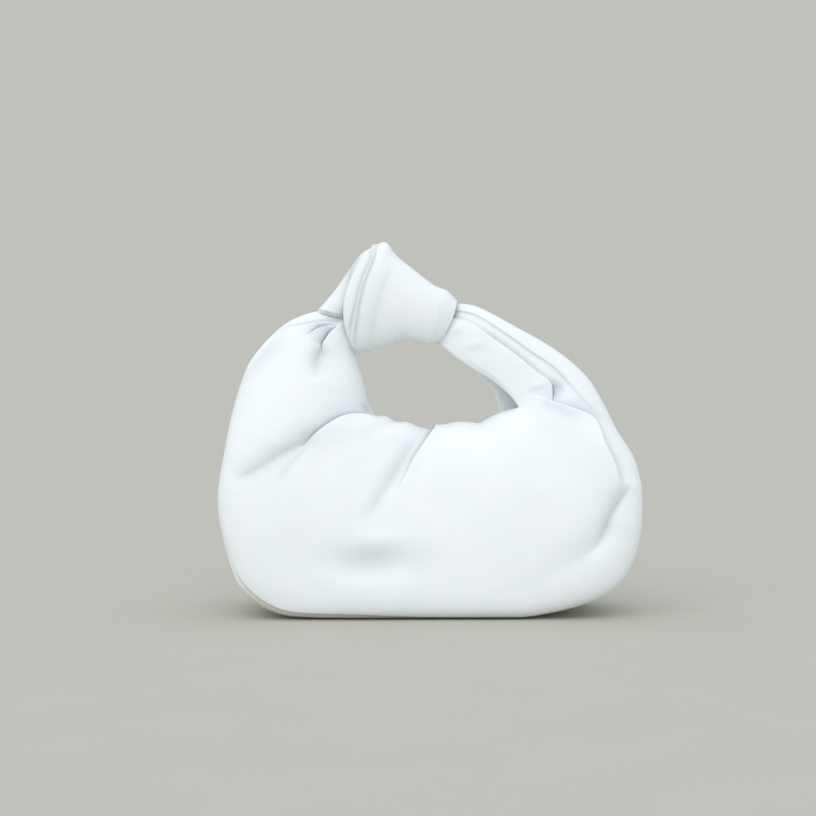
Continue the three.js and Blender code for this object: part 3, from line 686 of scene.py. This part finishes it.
def panelPoints(side, u, r, folds):
    # mm points of a folded panel's outer face, and the painted shade at each
    u, r = u[:, None], r[None, :]
    points = skinPoint(u, panelAngles(u, r), side)
    lift, push, shade = foldField(toPhoto(points), folds)
    hold = panelHold(u, r)
    lift = lift + slackLift(points)
    plainDepth = side * points[..., 1]
    points[..., 1] += side * lift * hold
    kept = np.minimum(plainDepth, level(skin["room"], u))
    points[..., 1] = side * np.maximum(side * points[..., 1], kept)
    points[..., 0] += push[..., 0] * hold
    points[..., 2] -= push[..., 1] * hold
    points, tuck = tucked(points, u, points[:, :1], seamTuck["depth"])
    return keepClear(points, side), np.maximum(shade * hold, seamTuck["shade"] * tuck)


def lowestAround(lift, reachAlong, reachAcross):
    # the deepest lift near each point, so that a coarse inner face stays under every fold
    for axis, reach in ((0, reachAlong), (1, reachAcross)):
        padded = np.pad(lift, [(reach, reach) if i == axis else (0, 0) for i in (0, 1)], mode="edge")
        lift = np.min(np.lib.stride_tricks.sliding_window_view(padded, 2 * reach + 1, axis=axis), axis=-1)
    return lift


def insidePoints(side, u, r, folds, inset, reach):
    # mm points of a smooth layer under the outer face, inset by so many mm and clear of every fold
    u, r = u[:, None], r[None, :]
    plain = skinPoint(u, panelAngles(u, r), side)
    lift = np.minimum(foldField(toPhoto(plain), folds)[0], 0) * panelHold(u, r)
    lift = lowestAround(lift, *reach) * panelGrid["spare"]
    byEdge = (1 - smoothStep(*panelGrid["insetTurn"], r))[..., None]
    plain = plain + (normalsOf(plain) * side * (1 - byEdge) + towardsHole(u) * byEdge) * inset
    kept = np.minimum(side * plain[..., 1], level(skin["room"], u) - inset)
    plain[..., 1] = side * np.maximum(side * plain[..., 1] + lift, kept)
    return keepClear(plain, side)


def panelInside(side, u, r, folds):
    # mm points of its inner face, from the inner edge back to the base seam
    every = len(r) // panelGrid["innerRows"]
    columns, rows = panelGrid["under"]
    inside = insidePoints(side, u, r, folds, panelGrid["wall"], (columns, every + rows))
    pick = np.unique(np.append(np.arange(0, len(r), every), len(r) - 1))[::-1]
    return inside[:, pick]


def turnedRim(outer, inside):
    # rows round the edge from the outer face to the inner one
    first, last = outer[:, -1], inside[:, 0]
    up = unit(outer[:, -1] - outer[:, -3])
    middle, half = (first + last) / 2, (first - last) / 2
    radius = np.linalg.norm(half, axis=-1, keepdims=True)
    turns = [math.pi * k / (panelGrid["rimRows"] + 1) for k in range(1, panelGrid["rimRows"] + 1)]
    return np.stack([middle + half * math.cos(a) + up * radius * math.sin(a) for a in turns], 1)


def makePanels():
    u = panelColumns()
    evenRows = panelGrid["rows"] + 1 - len(panelGrid["seamRows"])
    r = np.concatenate([panelGrid["seamRows"], np.linspace(panelGrid["evenFrom"], 1, evenRows)])
    for which, side, folds in halves:
        outer, shade = panelPoints(side, u, r, folds)
        inside = panelInside(side, u, r, folds)
        points = np.concatenate([outer, turnedRim(outer, inside), inside, outer[:, :1]], 1)
        shade = np.pad(shade, ((0, 0), (0, points.shape[1] - outer.shape[1])))
        panel = gridPiece(which + "Panel", points, whiteLeather, turned=side > 0, ringed=True, capped=True,
                          shade=shade, crisp=True)
        finishPiece(panel, "bag", "white_leather", which + "_panel")


makePanels()

# u at its two ends, and mm up from the floor over which the painted floor shade fades
base = {"from": 2, "to": 35, "rows": 36, "wall": 1.6, "floorShade": (5, 30)}


def makeBase():
    u = panelColumns()
    u = u[(u >= base["from"]) & (u <= base["to"])][:, None]
    w = np.linspace(-1, 1, base["rows"] + 1)[None, :]
    angle = seamAngle(u) * np.abs(w)
    front, back = skinPoint(u, angle, -1), skinPoint(u, angle, 1)
    points = np.where((w < 0)[..., None], front, back)
    points[..., 1] -= np.sign(w) * skin["seamGap"]
    for seam in (points[:, :1].copy(), points[:, -1:].copy()):
        points = tucked(points, u, seam, seamTuck["under"])[0]
    # painted shade and warm bounce light from the floor, strongest at the floor
    floorShade = 1 - smoothStep(*base["floorShade"], points[..., 2])
    piece = gridPiece("basePanel", points, floorShadedLeather, turned=True, shade=floorShade)
    thicken(piece, base["wall"])
    finishPiece(piece, "bag", "white_leather", "base_panel")


makeBase()

# The lining hangs inside the panels, with a slip pocket on its back

lining = {
    "from": 9.0,  # u
    "to": 33.0,
    "top": 0.95,  # share up the panel
    "inset": 4.5,  # mm under the panel's face
    "columns": 160,
    "rows": 48,
    "wall": 0.8,
    "under": (3, 3),  # columns and rows around that it stays under
}


def makeLining():
    u = np.linspace(lining["from"], lining["to"], lining["columns"] + 1)
    r = np.linspace(0, lining["top"], lining["rows"] + 1)
    for which, side, folds in halves:
        points = insidePoints(side, u, r, folds, lining["inset"], lining["under"])
        points[..., 2] = np.maximum(points[..., 2], lining["inset"])
        piece = thicken(gridPiece(which + "Lining", points, liningCotton, turned=side > 0), lining["wall"])
        finishPiece(piece, "bag", "lining_cloth", which + "_lining")


makeLining()

# u at its sides, shares up the panel and mm under its face
pocket = {"from": 17.5, "to": 25.5, "low": 0.3, "top": 0.72, "inset": 6.2, "columns": 59, "rows": 29}


def makePocket():
    u = np.linspace(pocket["from"], pocket["to"], pocket["columns"] + 1)
    r = np.linspace(pocket["low"], pocket["top"], pocket["rows"] + 1)
    points = insidePoints(1, u, r, backFolds, pocket["inset"], lining["under"])
    piece = thicken(gridPiece("slipPocket", points, liningCotton, turned=True), lining["wall"])
    finishPiece(piece, "bag", "lining_cloth", "slip_pocket")


makePocket()

# The zip runs on an arc round the hand hole, below the rim

zipper = {
    "centre": (10.0, 250.0),  # x and z of the arc's centre
    "radius": 126.5,
    "start": -26.0,  # degrees from straight down
    "end": 38.5,
    "sliderAt": -21.0,
    "chainEnd": 37.0,
    "tapeInner": 1.2,  # mm from the middle plane
    "tapeOuter": 9.2,
    "tapeWall": 0.6,
    "tapeColumns": 120,
    "tapeRows": 8,
    "facingFoot": 8.0,  # where the facings meet the tapes
    "partKeep": 0.2,  # share of a side's width that is left when the zip is open
    "toothPitch": 1.7,
    "toothSize": (1.25, 3.6, 1.7),  # along, across and through the chain
    "toothMiddle": 1.0,  # from the middle plane
    "toothLift": 0.3,  # above the tape
}


def arcPoint(degrees, radius, y):
    a = np.radians(degrees)
    x = zipper["centre"][0] + radius * np.sin(a)
    z = zipper["centre"][1] - radius * np.cos(a)
    return np.stack(np.broadcast_arrays(x, y, z), -1)


facing = {
    "from": 11.0,  # u
    "to": 34.2,
    "columns": 232,
    "rows": 16,
    "wall": 1.2,
    "rimRows": (0.97, 1.0),  # shares across the panel, the last at its rim
    # mm from the panel's rim, or a share of the half gap where that is narrow
    "inset": 1.7,
    "insetShare": 0.4,
    "below": 1.2,
    "footShare": 0.9,
    "leastHeight": 3,
    # how far it rolls in under the rim and stands up, and at what shares of its height
    "roll": 1.08,
    "rollShare": 0.12,
    "rollStart": (0, 0.25),
    "rollEnd": 5 / 6,
    "crown": 0.4,
    "crownEnd": 1 / 3,
}


def makeFacings():
    u = np.linspace(facing["from"], facing["to"], facing["columns"] + 1)
    k = np.linspace(0, 1, facing["rows"] + 1)[None, :, None]  # from the rim down
    for which, side, folds in halves:
        rim = panelPoints(side, u, np.array(facing["rimRows"]), folds)[0][:, -1:]
        rim[..., 1] -= side * np.minimum(facing["inset"], np.abs(rim[..., 1]) * facing["insetShare"])
        rim[..., 2] -= facing["below"]
        half = np.abs(rim[..., 1])
        drop = np.sqrt(zipper["radius"] ** 2 - (rim[..., 0] - zipper["centre"][0]) ** 2)
        foot = rim.copy()
        foot[..., 1] = side * np.minimum(zipper["facingFoot"], half * facing["footShare"])
        foot[..., 2] = np.minimum(zipper["centre"][1] - drop, rim[..., 2] - facing["leastHeight"])
        points = rim * (1 - k) + foot * k
        roll = np.minimum(facing["roll"], half * facing["rollShare"])[..., None]
        roll = roll * np.sin(np.pi * np.minimum(k / facing["rollEnd"], 1))
        points[..., 1:2] -= side * roll * smoothStep(*facing["rollStart"], k)
        points[..., 2:3] += facing["crown"] * np.sin(np.pi * np.minimum(k / facing["crownEnd"], 1))
        piece = thicken(gridPiece(which + "Facing", points, whiteLeather, turned=side < 0), facing["wall"])
        finishPiece(piece, "bag", "white_leather", which + "_facing")


makeFacings()


def partSides(piece):
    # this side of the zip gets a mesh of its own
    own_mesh(piece)


def makeZip():
    degrees = np.linspace(zipper["start"], zipper["end"], zipper["tapeColumns"] + 1)[:, None]
    across = np.linspace(zipper["tapeInner"], zipper["tapeOuter"], zipper["tapeRows"] + 1)[None, :]
    step = math.degrees(zipper["toothPitch"] / zipper["radius"])
    toothRadius = zipper["radius"] - zipper["toothSize"][2] / 2 - zipper["toothLift"]
    for which, side, _ in halves:
        points = arcPoint(degrees, zipper["radius"], side * across)
        tape = thicken(gridPiece(which + "ZipTape", points, zipTwill, turned=side < 0), zipper["tapeWall"])
        finishPiece(tape, "bag", "zip_tape_cloth", which + "_zip_tape")
        partSides(tape)
        bm = bmesh.new()
        first = zipper["sliderAt"] + (step / 2 if side > 0 else 0)  # the two rows mesh
        for at in np.arange(first, zipper["chainEnd"], step):
            ball = bmesh.ops.create_uvsphere(bm, u_segments=8, v_segments=6, radius=metresPerMm / 2)
            tooth = ball["verts"]
            bmesh.ops.scale(bm, verts=tooth, vec=zipper["toothSize"])
            bmesh.ops.transform(bm, matrix=Matrix.Rotation(-math.radians(at), 4, "Y"), verts=tooth)
            centre = arcPoint(at, toothRadius, side * zipper["toothMiddle"])
            bmesh.ops.translate(bm, verts=tooth, vec=Vector(centre) * metresPerMm)
        teeth = linkPiece(which + "ZipTeeth", bm, nylonCoil)
        finishPiece(teeth, "bag", "zip_coil", which + "_zip_teeth")
        partSides(teeth)


makeZip()

# mm, and lengths from the end of the tape to the tab's middle
zipTab = {"length": 6.0, "halfWidth": 7.0, "wall": 2.4, "edge": 0.8, "offset": 0.55}


def makeTabs():
    reach = math.degrees(zipTab["length"] / zipper["radius"]) * zipTab["offset"]
    for which, at in (("left", zipper["start"] - reach), ("right", zipper["end"] + reach)):
        bm = bmesh.new()
        bmesh.ops.create_cube(bm, size=metresPerMm)
        size = (zipTab["length"], 2 * zipTab["halfWidth"], zipTab["wall"])
        bmesh.ops.scale(bm, verts=bm.verts, vec=size)
        bmesh.ops.bevel(bm, geom=bm.edges[:], offset=zipTab["edge"] * metresPerMm, affect="EDGES", segments=4,
                        profile=0.5, material=-1)
        bmesh.ops.transform(bm, matrix=Matrix.Rotation(-math.radians(at), 4, "Y"), verts=bm.verts)
        centre = arcPoint(at, zipper["radius"], 0.0)
        bmesh.ops.translate(bm, verts=bm.verts, vec=Vector(centre) * metresPerMm)
        finishPiece(linkPiece(which + "ZipTab", bm, whiteLeather), "bag", "white_leather", which + "_zip_tab")


makeTabs()

metal = {
    # piece, CAD node and body
    "pieces": [("zipSlider", "zip_slider", "slider"), ("zipPull", "zip_pull", "pull"),
               ("frontTopStop", "front_top_stop", "bag"), ("backTopStop", "back_top_stop", "bag"),
               ("bottomStop", "bottom_stop", "bag")],
    "weld": 0.002,  # mm
    "edge": 0.22,  # mm of rounding on edges sharper than edgeAngle
    "edgeAngle": 35.0,
}


def makeMetal():
    # the solids' own shapes, with tumbled edges
    for name, node, body in metal["pieces"]:
        bm = bmesh.new()
        bm.from_mesh(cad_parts[node].data)
        bmesh.ops.remove_doubles(bm, verts=bm.verts, dist=metal["weld"] * metresPerMm)
        piece = linkPiece(name, bm, goldZinc)
        bevel = piece.modifiers.new("tumbledEdges", "BEVEL")
        bevel.width = metal["edge"] * metresPerMm
        bevel.segments = 3
        bevel.limit_method = "ANGLE"
        bevel.angle_limit = math.radians(metal["edgeAngle"])
        bevel.use_clamp_overlap = True
        even = piece.modifiers.new("evenNormals", "WEIGHTED_NORMAL")
        even.keep_sharp = False
        finishPiece(piece, body, "zip_metal", node)


makeMetal()

# The knot's wrap: rings from its wide left end to its narrow right end

wrap = {
    # share along, column and row of the ring's middle, column and row from there to its top, and the columns
    # that its front bulges
    "rings": [
        (0, 365, 299.5, 9, -53.5, -20), (0.12, 375.3, 296, 8.3, -53, -15),
        (0.3, 389.5, 300, 4.5, -46, -9), (0.5, 405.5, 302.7, 2.5, -37.7, -4),
        (0.75, 429.5, 314.7, 7.5, -27.7, 1), (0.9, 441, 317.7, 8, -25.7, 2),
        (1, 447.5, 321.7, 9, -21.5, 3),
    ],
    "halfDepth": [(0, 28), (0.12, 30), (0.3, 30), (0.5, 28.5), (0.75, 25), (0.9, 22), (1, 19)],
    # once round the wall: share along the knot, share of the ring's size, mm along the axis
    "wall": [
        (0, 0.5, 0.8, 0), (0.07, 0.06, 0.84, 0), (0.11, 0.01, 0.9, 0), (0.14, 0, 0.945, -1.0),
        (0.17, 0, 0.985, -0.6), (0.20, 0.02, 1, 0), (0.5, 0.5, 1, 0), (0.8, 0.985, 1, 0),
        (0.83, 1, 0.98, 0.5), (0.86, 1, 0.93, 0.8), (0.9, 0.99, 0.8, 0.2), (0.94, 0.93, 0.76, 0),
        (1, 0.5, 0.8, 0),
    ],
    "plump": 0.42,
    # shares round the wall over which the folds come in and go out, and how far forward they start, 1 at
    # the front
    "foldsIn": (0.15, 0.2),
    "foldsOut": (0.8, 0.84),
    "foldsFront": (-0.05, 0.25),
    "around": 180,
    "along": 160,
}

wrapFolds = [
    lap([(375.5, 244), (372, 258), (363.4, 277), (358.7, 291.5), (355.2, 307), (352.2, 320), (350.6, 331),
        (352, 341)], "left", rise=(0.3, 6), drop=(1.6, 6), edge=0.8, shade=(0.4, 2),
        amount=[(0, 1), (0.8, 1), (1, 0.3)]),
    lap([(378, 244), (374.6, 258), (366.9, 277.6), (362.6, 291.5), (359.5, 307), (357.6, 320),
        (355.9, 331), (355.4, 342), (356, 350)], "left", rise=(0.3, 6), drop=(1.6, 5), edge=0.8,
        shade=(0.4, 2), amount=[(0, 1), (0.8, 1), (1, 0.4)]),
    # a soft pleat further right, and the turned edge of the narrow end
    valley([(392, 258.7), (388, 268), (383, 282), (378.5, 294.5), (376, 305), (374, 315), (372.3, 327),
        (370, 339.5)], depth=0.9, widths=(2.2, 6.5), sharp=1.3, shade=0.16,
        amount=[(0, 0.1), (0.25, 0.8), (0.7, 1), (1, 0.4)]),
    valley([(440, 297), (439, 306), (437.5, 318), (435.5, 329), (432, 341)], depth=0.5, widths=(2.2, 1.6),
        sharp=1.5, shade=0.07, amount=[(0, 0), (0.35, 0.7), (0.7, 1), (1, 0.5)]),
]


def wrapRing(share, phi):
    # mm points of the plain wrap at a share along it; phi runs from its top round its front
    ring = through(wrap["rings"], share)
    half = through(wrap["halfDepth"], share)[..., 0]
    up, out = np.cos(phi), np.sin(phi)
    column = ring[..., 0] + ring[..., 2] * up + ring[..., 4] * out ** 2
    row = ring[..., 1] + ring[..., 3] * up
    y = -half * rounded(out, wrap["plump"])
    return withDepth(fromPhoto(np.stack([column, row], -1), y), y)


def makeWrap():
    t, phi = ringGrid(wrap["along"], np.linspace(0, 2 * math.pi, wrap["around"] + 1))
    wall = through(wrap["wall"], t)
    share, size, shift = wall[..., 0], wall[..., 1:2], wall[..., 2]
    axis = withDepth(fromPhoto(through(wrap["rings"], share)[..., :2]), 0)
    points = axis + (wrapRing(share, phi) - axis) * size
    points[..., 0] += shift
    lift, _, shade = foldField(toPhoto(points), wrapFolds)
    outside = smoothStep(*wrap["foldsIn"], t) * (1 - smoothStep(*wrap["foldsOut"], t))
    outside = outside * smoothStep(*wrap["foldsFront"], np.sin(phi))
    points = points + normalsOf(points) * (lift * outside)[..., None]
    piece = gridPiece("knotWrap", points, whiteLeather, ringed=True, shade=shade * outside)
    finishPiece(piece, "bag", "white_leather", "knot_wrap", "knot_core")


makeWrap()

# The folded ear of leather left of the wrap

ear = {
    # share up the ear, its left edge and its hidden right edge, half depth in mm
    "edges": [(0, 318.8, 313.6, 346, 321, 14.5), (0.02, 318.4, 312.8, 346.5, 320.3, 17.8),
              (0.05, 318.6, 311, 348, 318.6, 19.6), (0.12, 322.5, 306.5, 353, 316, 20.6),
              (0.3, 333, 294, 366, 309, 21.6), (0.6, 349, 271.5, 379, 290, 23),
              (0.85, 361, 255.5, 383, 273, 21), (1, 369, 249.5, 384, 262, 14)],
    "plump": 0.34,
    # the leather is folded double: a groove runs up between its layers, with painted shade in it
    "groove": 0.24,  # share of the width
    "grooveWidth": 5.0,
    "grooveSharp": 1.3,
    "grooveShade": 0.6,
    "grooveSide": (0, 0.6),  # how far to the left it fades in, 1 at the edge
    "grooveStart": (0, 0.06),  # share up
    "cornerShare": 0.85,  # of the half depth that the narrow side's corners reach
    "cornerSteps": 14,  # points on half of a narrow side
    "frontSteps": 34,
    "along": 110,
}
faceFade = (0.1, 0.4)  # how far forward the folds of the ear and the front band come in, 1 at the front

# the wrap's edge lies on the ear, only as a painted shadow line, and its own edge is turned in, with painted
# shade
earFolds = [
    valley([(318, 309.5), (326, 311), (334, 313.6), (346, 318.3)], depth=0.5, widths=(0.9, 0.9),
        sharp=1.4, shade=0.4, amount=[(0, 0.4), (0.3, 1), (1, 1)]),
    valley([(360, 254), (352, 269), (348, 292.5), (344.7, 310), (344.7, 328)], depth=0, widths=(2.5, 2.5),
        sharp=1.2, shade=0.5, amount=[(0, 0.6), (0.3, 1), (1, 1)]),
]


def earTurn():
    # angles once round a flat section, evenly spread on its narrow sides
    corner = np.arcsin(np.linspace(0, ear["cornerShare"], ear["cornerSteps"]) ** (1 / ear["plump"]))
    front = np.linspace(corner[-1], math.pi - corner[-1], ear["frontSteps"])[1:-1]
    half = np.concatenate([corner, front, math.pi - corner[::-1]])
    return np.concatenate([half, math.pi + half[1:]])


def makeEar():
    t, phi = ringGrid(ear["along"], earTurn())
    edge = through(ear["edges"], t)
    left, right = edge[..., 0:2], edge[..., 2:4]
    y = -edge[..., 4] * rounded(np.sin(phi), ear["plump"])
    groove = np.exp(-np.abs(y / ear["grooveWidth"]) ** ear["grooveSharp"])
    groove = groove * smoothStep(*ear["grooveSide"], np.cos(phi)) * smoothStep(*ear["grooveStart"], t)
    inward = (1 - np.cos(phi)) / 2 + ear["groove"] * groove
    points = withDepth(fromPhoto(left + (right - left) * inward[..., None]), y)
    lift, _, shade = foldField(toPhoto(points), earFolds)
    front = smoothStep(*faceFade, np.sin(phi))
    points = points + normalsOf(points) * (lift * front)[..., None]
    piece = gridPiece("knotEar", points, whiteLeather, ringed=True, capped=True,
                      shade=np.maximum(shade * front, ear["grooveShade"] * groove))
    finishPiece(piece, "bag", "white_leather", "knot_loop")


makeEar()

# Flat bands from the knot's right end down to the mouth

band = {
    # share along, upper edge, hole edge, mm from the middle plane to the band's middle, half thickness
    "front": [(0, 436, 314, 422, 338, 11, 3.2), (0.1, 453, 317.5, 438, 344, 12.6, 3.2),
              (0.25, 471, 323, 455, 357, 15.2, 3.2), (0.45, 494, 338.5, 476, 370.5, 17, 3.2),
              (0.62, 517, 355, 493, 381, 17.6, 3.2), (0.78, 537, 371.5, 506, 392, 17.8, 3.2),
              (0.9, 550, 381.5, 513, 399, 17.8, 3.2), (0.95, 552.5, 387, 518, 406, 17.4, 3.2),
              (1, 552.5, 404, 526, 416, 16, 3.0)],
    "back": [(0, 436, 314, 422, 338, 11, 3.4), (0.1, 453, 318, 438, 344, 11.5, 3.6),
             (0.25, 471, 323.5, 455, 357, 11.5, 3.6), (0.45, 494, 339, 475, 371, 11, 3.6),
             (0.62, 517, 355.5, 487, 383, 10.5, 3.5), (0.78, 537, 372, 494, 392, 10, 3.3),
             (0.9, 550.5, 382.5, 498, 403, 9.8, 2.8), (1, 553, 403, 501, 420, 9.6, 2.3)],
    # powers that square its section across and through
    "edgePower": 0.8,
    "facePower": 0.7,
    "around": 72,
    "along": 110,
}

# the bands pass under the knot's right end, which paints a shadow line on them, with dents beside it, one
# at the foot, and a turned edge along the hole, all with painted shade; only the front band takes their depth
bandFolds = [
    valley([(457, 301), (455, 313), (450.5, 320), (445, 334), (438, 344)], depth=0, widths=(2.5, 2.5),
        sharp=1.2, shade=0.5, amount=[(0, 1), (1, 1)]),
    valley([(458, 350), (472, 361.5), (486, 371), (498, 380), (507, 391)], depth=0.5, widths=(1, 1.4),
        sharp=1.4, shade=0.2, amount=[(0, 0), (0.3, 0.6), (0.7, 1), (1, 0.6)]),
    swell((455, 331), reach=(5, 3), turn=-35, lift=-0.9, shade=0.1),
    swell((474, 345), reach=(6.5, 3), turn=-10, lift=-0.9, shade=0.06),
    swell((537, 386), reach=(6, 2.6), turn=-15, lift=-0.8, shade=0.06),
]


def makeBands():
    t, phi = ringGrid(band["along"], np.linspace(0, 2 * math.pi, band["around"] + 1))
    across = (1 - rounded(np.cos(phi), band["edgePower"])) / 2
    thick = rounded(np.sin(phi), band["facePower"])
    for which, side, _ in halves:
        edge = through(band[which], t)
        upper, hole, middle, half = edge[..., 0:2], edge[..., 2:4], edge[..., 4], edge[..., 5]
        flat = fromPhoto(upper + (hole - upper) * across[..., None], side * middle)
        points = withDepth(flat, side * (middle + half * thick))
        lift, _, shade = foldField(toPhoto(points), bandFolds)
        if side < 0:
            front = smoothStep(*faceFade, np.sin(phi))
            points = points + normalsOf(points) * (lift * front)[..., None]
        piece = gridPiece(which + "Band", points, whiteLeather, turned=side > 0, ringed=True, capped=True,
                          shade=shade)
        finishPiece(piece, "bag", "white_leather", which + "_handle_band")


makeBands()

# Floor, light and camera

stageLook = {
    "floor": ("#BABAAE", "#BEBEB2"),  # its two tones
    "cloudMm": 60.0,  # from one to the other
    "floorRadius": 6.0,  # metres
    "backdrop": "#BFC1BA",
    "air": "#F4F7FF",
    "airStrength": 0.9,
    # strength, spread in degrees and the way it comes from
    "keyLight": (1.0, 70, (-0.3, -1.0, 0.9)),
    "fillLight": (0.1, 120, (0.9, -0.8, 0.5)),
    "clip": (0.05, 50),  # metres from the eye
}


def makeFloor():
    # sealed concrete: matt and pale, with a faint cloud in its tone
    material, tree, place = newMaterial("sealedConcrete")
    cloud = addNode(tree, "ShaderNodeTexNoise",
                    {"Scale": mmPerMetre / stageLook["cloudMm"], "Detail": 4.0, "Roughness": 0.55},
                    {"Vector": place})
    tone = addNode(tree, "ShaderNodeValToRGB", None, {"Fac": cloud.outputs["Fac"]})
    for stop, code in zip(tone.color_ramp.elements, stageLook["floor"]):
        stop.color = hexColour(code)
    shader = addNode(tree, "ShaderNodeBsdfPrincipled", {"Roughness": 0.8},
                     {"Base Color": tone.outputs["Color"]})
    addNode(tree, "ShaderNodeOutputMaterial", None, {"Surface": shader.outputs["BSDF"]})
    bm = bmesh.new()
    bmesh.ops.create_circle(bm, cap_ends=True, segments=96, radius=stageLook["floorRadius"])
    linkPiece("studioFloor", bm, material)


def makeSun(name, strength, spread, comesFrom):
    # an even, wide soft light from one side of the studio; spread in degrees
    lamp = bpy.data.lights.new(name, "SUN")
    lamp.energy = strength
    lamp.angle = math.radians(spread)
    piece = bpy.data.objects.new(name, lamp)
    piece.rotation_mode = "QUATERNION"
    piece.rotation_quaternion = (-Vector(comesFrom)).to_track_quat("-Z", "Y")
    bpy.context.scene.collection.objects.link(piece)


def makeLight():
    world = bpy.data.worlds.new("studioAir")
    bpy.context.scene.world = world
    world.use_nodes = True
    tree = world.node_tree
    tree.nodes.clear()
    # the backdrop is what the eye, metal and glass see; the air only lights the bag
    rays = addNode(tree, "ShaderNodeLightPath")
    straight = addNode(tree, "ShaderNodeMath", {"operation": "ADD"},
                       {0: rays.outputs["Is Camera Ray"], 1: rays.outputs["Is Glossy Ray"]})
    shown = addNode(tree, "ShaderNodeMath", {"operation": "ADD", "use_clamp": True},
                    {0: straight.outputs["Value"], 1: rays.outputs["Is Transmission Ray"]})
    seen = addNode(tree, "ShaderNodeBackground", {"Color": hexColour(stageLook["backdrop"]), "Strength": 1.0})
    air = addNode(tree, "ShaderNodeBackground",
                  {"Color": hexColour(stageLook["air"]), "Strength": stageLook["airStrength"]})
    mix = addNode(tree, "ShaderNodeMixShader", None,
                  {"Fac": shown.outputs["Value"], 1: air.outputs[0], 2: seen.outputs[0]})
    addNode(tree, "ShaderNodeOutputWorld", None, {"Surface": mix.outputs[0]})
    for name in ("keyLight", "fillLight"):
        makeSun(name, *stageLook[name])


def makeCamera():
    data = bpy.data.cameras.new("photoCamera")
    camera = bpy.data.objects.new("photoCamera", data)
    data.angle = 2 * math.atan(centrePixel * photoEye["mmPerPixel"] / photoEye["distance"])
    data.clip_start, data.clip_end = stageLook["clip"]
    camera.location = Vector((eyeX, -photoEye["distance"], photoEye["height"])) * metresPerMm
    camera.rotation_euler = (math.pi / 2, 0, 0)
    bpy.context.scene.collection.objects.link(camera)
    bpy.context.scene.camera = camera


makeFloor()
makeLight()
makeCamera()
bpy.context.scene.view_settings.view_transform = "Standard"
print("floor, light and camera set")
